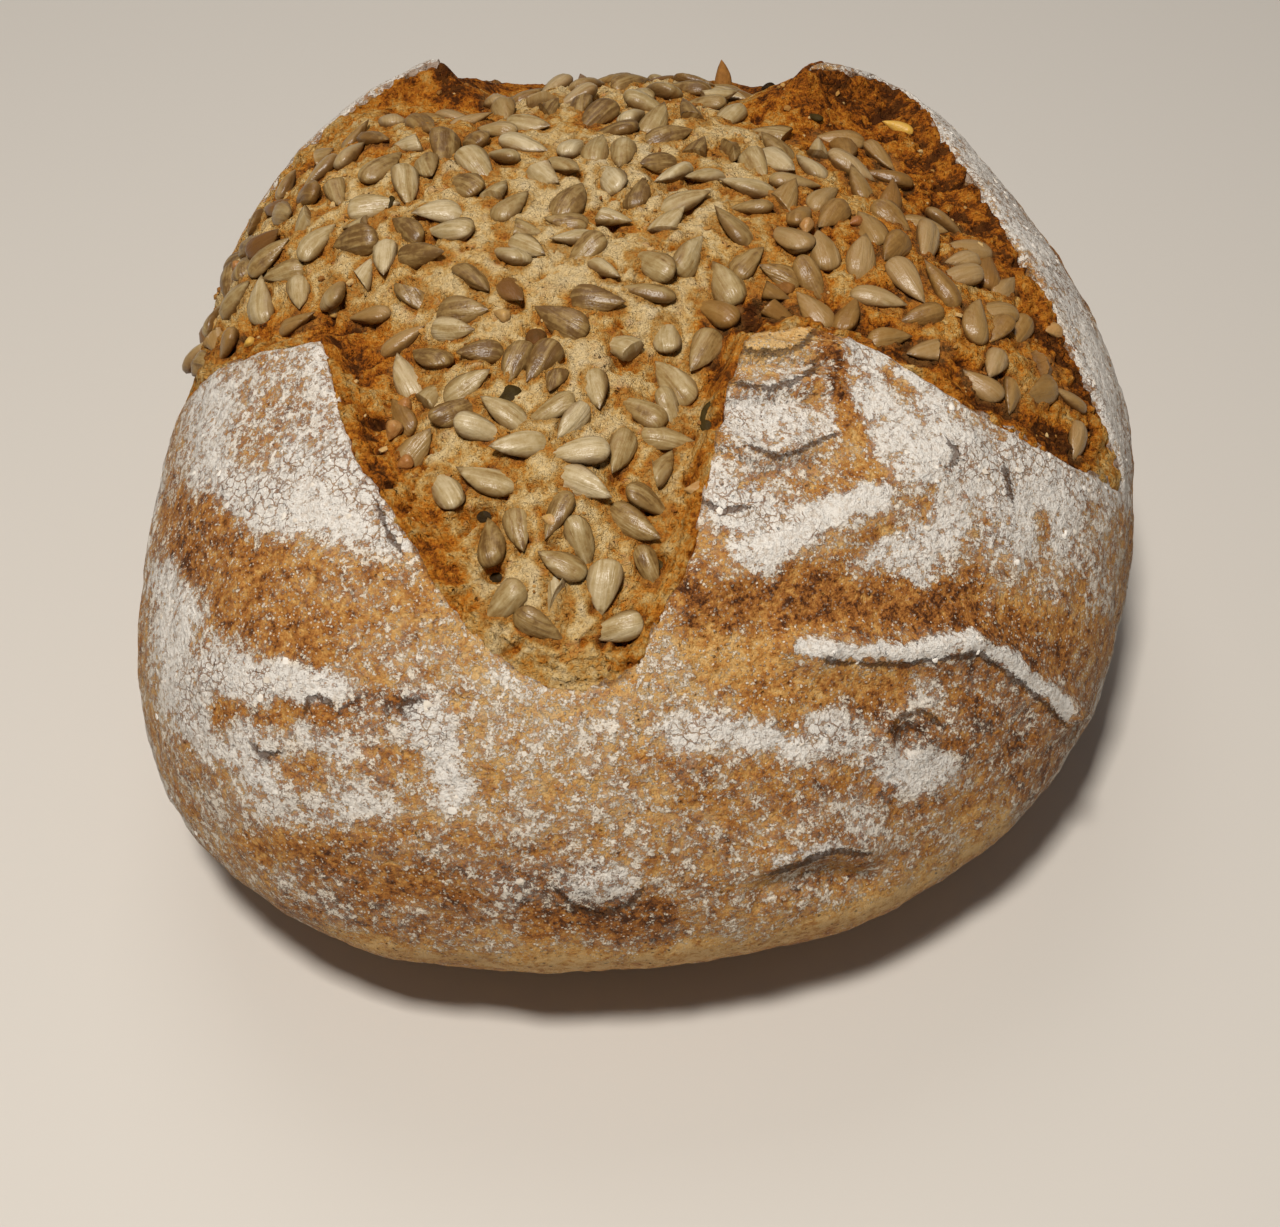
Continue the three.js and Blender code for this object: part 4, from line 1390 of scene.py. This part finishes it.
def crumb_material():
    g = Graph("crumb")
    toast = g.attribute("toast")
    edge = g.attribute("edge_distance")
    fine = g.noise(0.8, 4.0, 0.7)
    grains = g.noise(0.35, 2.0, 0.6)
    clumps = g.noise(3.4, 4.0, 0.65)
    broad = g.noise(11.0, 2.0)
    hollow = g.math("MINIMUM", g.math("MAXIMUM", g.attribute("hollow"), -1.5), 2.0)
    near = g.step(edge, 9.0, 3.0)
    # Painted shade: the crumb is darker where it is hollow
    shade = g.math("ADD", toast, g.scaled(hollow, 0.2))
    shade = g.math("ADD", shade, g.scaled(near, 0.09))
    # Painted shade round and under the kernels darkens the crumb's tone
    kernel_shade = g.math("MULTIPLY", g.attribute("kernel_shade"), g.scaled(toast, -0.35, 0.42))
    shade = g.math("ADD", shade, g.scaled(kernel_shade, 1.0, -0.03))
    shade = g.math("ADD", shade, g.scaled(clumps, 1.3, -0.65))
    shade = g.math("ADD", shade, g.scaled(fine, 1.2, -0.6))
    shade = g.math("ADD", shade, g.scaled(broad, 0.4, -0.2))
    colour = g.ramp(shade, [
        (0.0, (0.68, 0.50, 0.25)),
        (0.2, (0.60, 0.395, 0.152)),
        (0.4, (0.51, 0.272, 0.066)),
        (0.62, (0.49, 0.175, 0.015)),
        (0.82, (0.30, 0.08, 0.006)),
        (1.0, (0.065, 0.018, 0.003)),
    ])
    flour = g.math("ADD", g.scaled(clumps, 0.8), g.scaled(fine, 0.5))
    flour = g.math("SUBTRACT", flour, g.scaled(hollow, 0.12))
    flour = g.math("SUBTRACT", flour, g.scaled(g.attribute("kernel_shade"), 0.2))
    flour = g.math("MULTIPLY", g.step(flour, 0.66, 0.86), g.step(toast, 0.5, 0.1))
    flour = g.math("MULTIPLY", flour, g.step(edge, 2.0, 9.0))
    colour = g.mix(g.scaled(flour, 0.65), colour, (0.68, 0.55, 0.35))
    # Painted shade round the kernels, mixed into the colour
    colour = g.mix(g.scaled(g.attribute("kernel_shade"), 0.34), colour, (0.30, 0.155, 0.045))
    # Painted shade in the crumb's small pores, which also dip the bump
    pores = g.spots(1.5, g.warped(1.6, 1.2))
    pore_shade = g.math("MULTIPLY", g.step(pores, 0.26, 0.12), g.step(clumps, 0.5, 0.62))
    colour = g.mix(g.scaled(pore_shade, 0.75), colour, (0.07, 0.024, 0.005))

    # Fibres drawn along the tear
    pull = g.math("ADD", g.scaled(edge, 4.2), g.scaled(g.noise(4.0, 3.0), 9.0))
    fibre = g.scaled(g.math("SINE", pull), 0.5, 0.5)
    fibre = g.math("MULTIPLY", fibre, near)
    colour = g.mix(g.scaled(fibre, 0.22), colour, (0.24, 0.09, 0.015))
    height = g.math("ADD", g.scaled(fine, 0.7), g.scaled(grains, 0.35))
    height = g.math("SUBTRACT", height, g.scaled(pore_shade, 0.9))
    height = g.math("SUBTRACT", height, g.scaled(fibre, 0.35))
    normal = g.bump(height, 1.3, 1.0)
    normal = g.bump(clumps, 2.2, 0.8, normal)
    return g.finish(colour, 0.8, normal, 0.08)


def kernel_material():
    g = Graph("kernel")
    tone = g.attribute("tone")
    along = g.attribute("along")
    across = g.attribute("across")
    low = g.attribute("low")
    grain = g.nodes.new("ShaderNodeCombineXYZ")
    g.feed(grain.inputs[0], g.scaled(across, 5.0))
    g.feed(grain.inputs[1], g.scaled(along, 1.1))
    g.feed(grain.inputs[2], g.scaled(tone, 90.0))
    streaks = g.noise(1.0, 3.0, 0.65, grain.outputs[0], 0.4)
    mottle = g.noise(1.5, 3.0, 0.65)
    shade = g.math("ADD", tone, g.scaled(streaks, 1.4, -0.78))
    shade = g.math("ADD", shade, g.scaled(mottle, 0.8, -0.4))
    colour = g.ramp(shade, [
        (0.0, (0.13, 0.066, 0.018)),
        (0.25, (0.25, 0.152, 0.05)),
        (0.55, (0.345, 0.245, 0.108)),
        (1.0, (0.50, 0.40, 0.24)),
    ])
    toasted = g.step(tone, 0.1, 0.05)
    colour = g.mix(g.scaled(toasted, 0.7), colour, (0.17, 0.068, 0.014))
    # Painted shade, brownish, along the kernel's edges
    edge_shade = g.math("ADD", g.math("ABSOLUTE", across), g.scaled(mottle, 0.3, -0.15))
    colour = g.mix(g.scaled(g.step(edge_shade, 0.28, 0.5), 0.6), colour, (0.17, 0.09, 0.025))
    gold = g.step(g.math("ADD", g.attribute("toast"), g.scaled(mottle, 0.4, -0.2)), 0.25, 0.7)
    colour = g.mix(g.scaled(gold, 0.7), colour, (0.26, 0.13, 0.03))
    tip = g.math("ADD", along, g.scaled(mottle, 0.3, -0.15))
    colour = g.mix(g.scaled(g.step(tip, 0.14, 0.0), 0.6), colour, (0.12, 0.075, 0.03))
    # Painted shade on the kernel's underside
    side = g.math("ADD", low, g.scaled(mottle, 0.5, -0.25))
    colour = g.mix(g.scaled(g.step(side, 0.22, -0.2), 0.85), colour, (0.12, 0.055, 0.013))
    height = g.math("ADD", g.scaled(streaks, 0.8), g.scaled(mottle, 0.5))
    return g.finish(colour, 0.36, g.bump(height, 0.5, 0.8), 0.42)


def tone_material(name, stops, roughness, shine):
    g = Graph(name)
    mottle = g.noise(1.2, 3.0, 0.65)
    shade = g.math("ADD", g.attribute("tone"), g.scaled(mottle, 0.5, -0.25))
    return g.finish(g.ramp(shade, stops), roughness, g.bump(mottle, 0.5, 0.7), shine)


DARK_SEED_TONES = [
    (0.0, (0.018, 0.009, 0.003)),
    (0.35, (0.05, 0.032, 0.008)),
    (0.65, (0.12, 0.05, 0.014)),
    (1.0, (0.30, 0.13, 0.03)),
]
GRAIN_TONES = [
    (0.0, (0.24, 0.075, 0.018)),
    (0.4, (0.36, 0.16, 0.042)),
    (0.7, (0.42, 0.25, 0.09)),
    (1.0, (0.62, 0.36, 0.055)),
]
BIT_TONES = [(0.0, (0.20, 0.075, 0.012)), (0.6, (0.42, 0.22, 0.055)), (1.0, (0.52, 0.36, 0.16))]
FLAKE_TONES = [(0.0, (0.62, 0.54, 0.44)), (1.0, (0.84, 0.80, 0.74))]


# Stage: floor, lights, camera

def make_floor():
    bpy.ops.mesh.primitive_plane_add(size=4)
    floor = bpy.context.object
    floor.name = "floor"
    floor.data.materials.append(plain_material("floor", (0.60, 0.565, 0.52), 0.6))


def add_light(name, place, size, power, colour):
    data = bpy.data.lights.new(name, "AREA")
    data.energy = power
    data.size = size
    data.color = colour
    light = bpy.data.objects.new(name, data)
    light.location = place
    aim = Vector((0, 0, 0.05)) - Vector(place)
    light.rotation_euler = aim.to_track_quat("-Z", "Y").to_euler()
    bpy.context.scene.collection.objects.link(light)


def make_lights():
    add_light("key", (-0.11, -0.31, 0.92), 0.11, 8.8, (1, 0.95, 0.88))
    add_light("fill", (-0.2, 0.7, 1.2), 0.7, 3.0, (1, 0.96, 0.91))
    world = bpy.data.worlds.new("room")
    bpy.context.scene.world = world
    world.use_nodes = True
    world.node_tree.nodes["Background"].inputs[0].default_value = (0.97, 0.96, 0.95, 1)
    world.node_tree.nodes["Background"].inputs[1].default_value = 0.12


def make_camera():
    place, right, up, back = camera_frame()
    data = bpy.data.cameras.new("camera")
    data.sensor_fit = "HORIZONTAL"
    data.sensor_width = SENSOR_WIDTH
    data.lens = CAMERA_FOCAL_PX * SENSOR_WIDTH / PHOTO_SIZE[0]
    camera = bpy.data.objects.new("camera", data)
    turn = Matrix([[right[i], up[i], back[i]] for i in range(3)]).to_4x4()
    camera.matrix_world = Matrix.Translation(in_metres(place[None])[0].tolist()) @ turn
    bpy.context.scene.collection.objects.link(camera)
    bpy.context.scene.camera = camera


make_camera()
make_floor()
make_lights()
crust = make_crust(crust_material())
scattered = scatter_kernels()
crumb = make_crumb(crumb_material(), scattered)
kernels = make_kernels(kernel_material(), scattered)
sample = crumb_sample(0.8)
dark = tone_material("dark seed", DARK_SEED_TONES, 0.5, 0.05)
seeds = make_seeds("dark_seeds", "dark_seed", dark, DARK_SEEDS, sample)
grain = tone_material("grain", GRAIN_TONES, 0.4, 0.4)
grains = make_seeds("grains", "kernel", grain, GRAINS, sample)
bits = make_crumb_lumps(tone_material("crumb bit", BIT_TONES, 0.8, 0.2), sample)
flakes = make_flour_flakes(tone_material("flour flake", FLAKE_TONES, 0.95, 0.1))
for piece in (crust, crumb, kernels):
    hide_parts("loaf")
bpy.context.scene.view_settings.view_transform = "Standard"
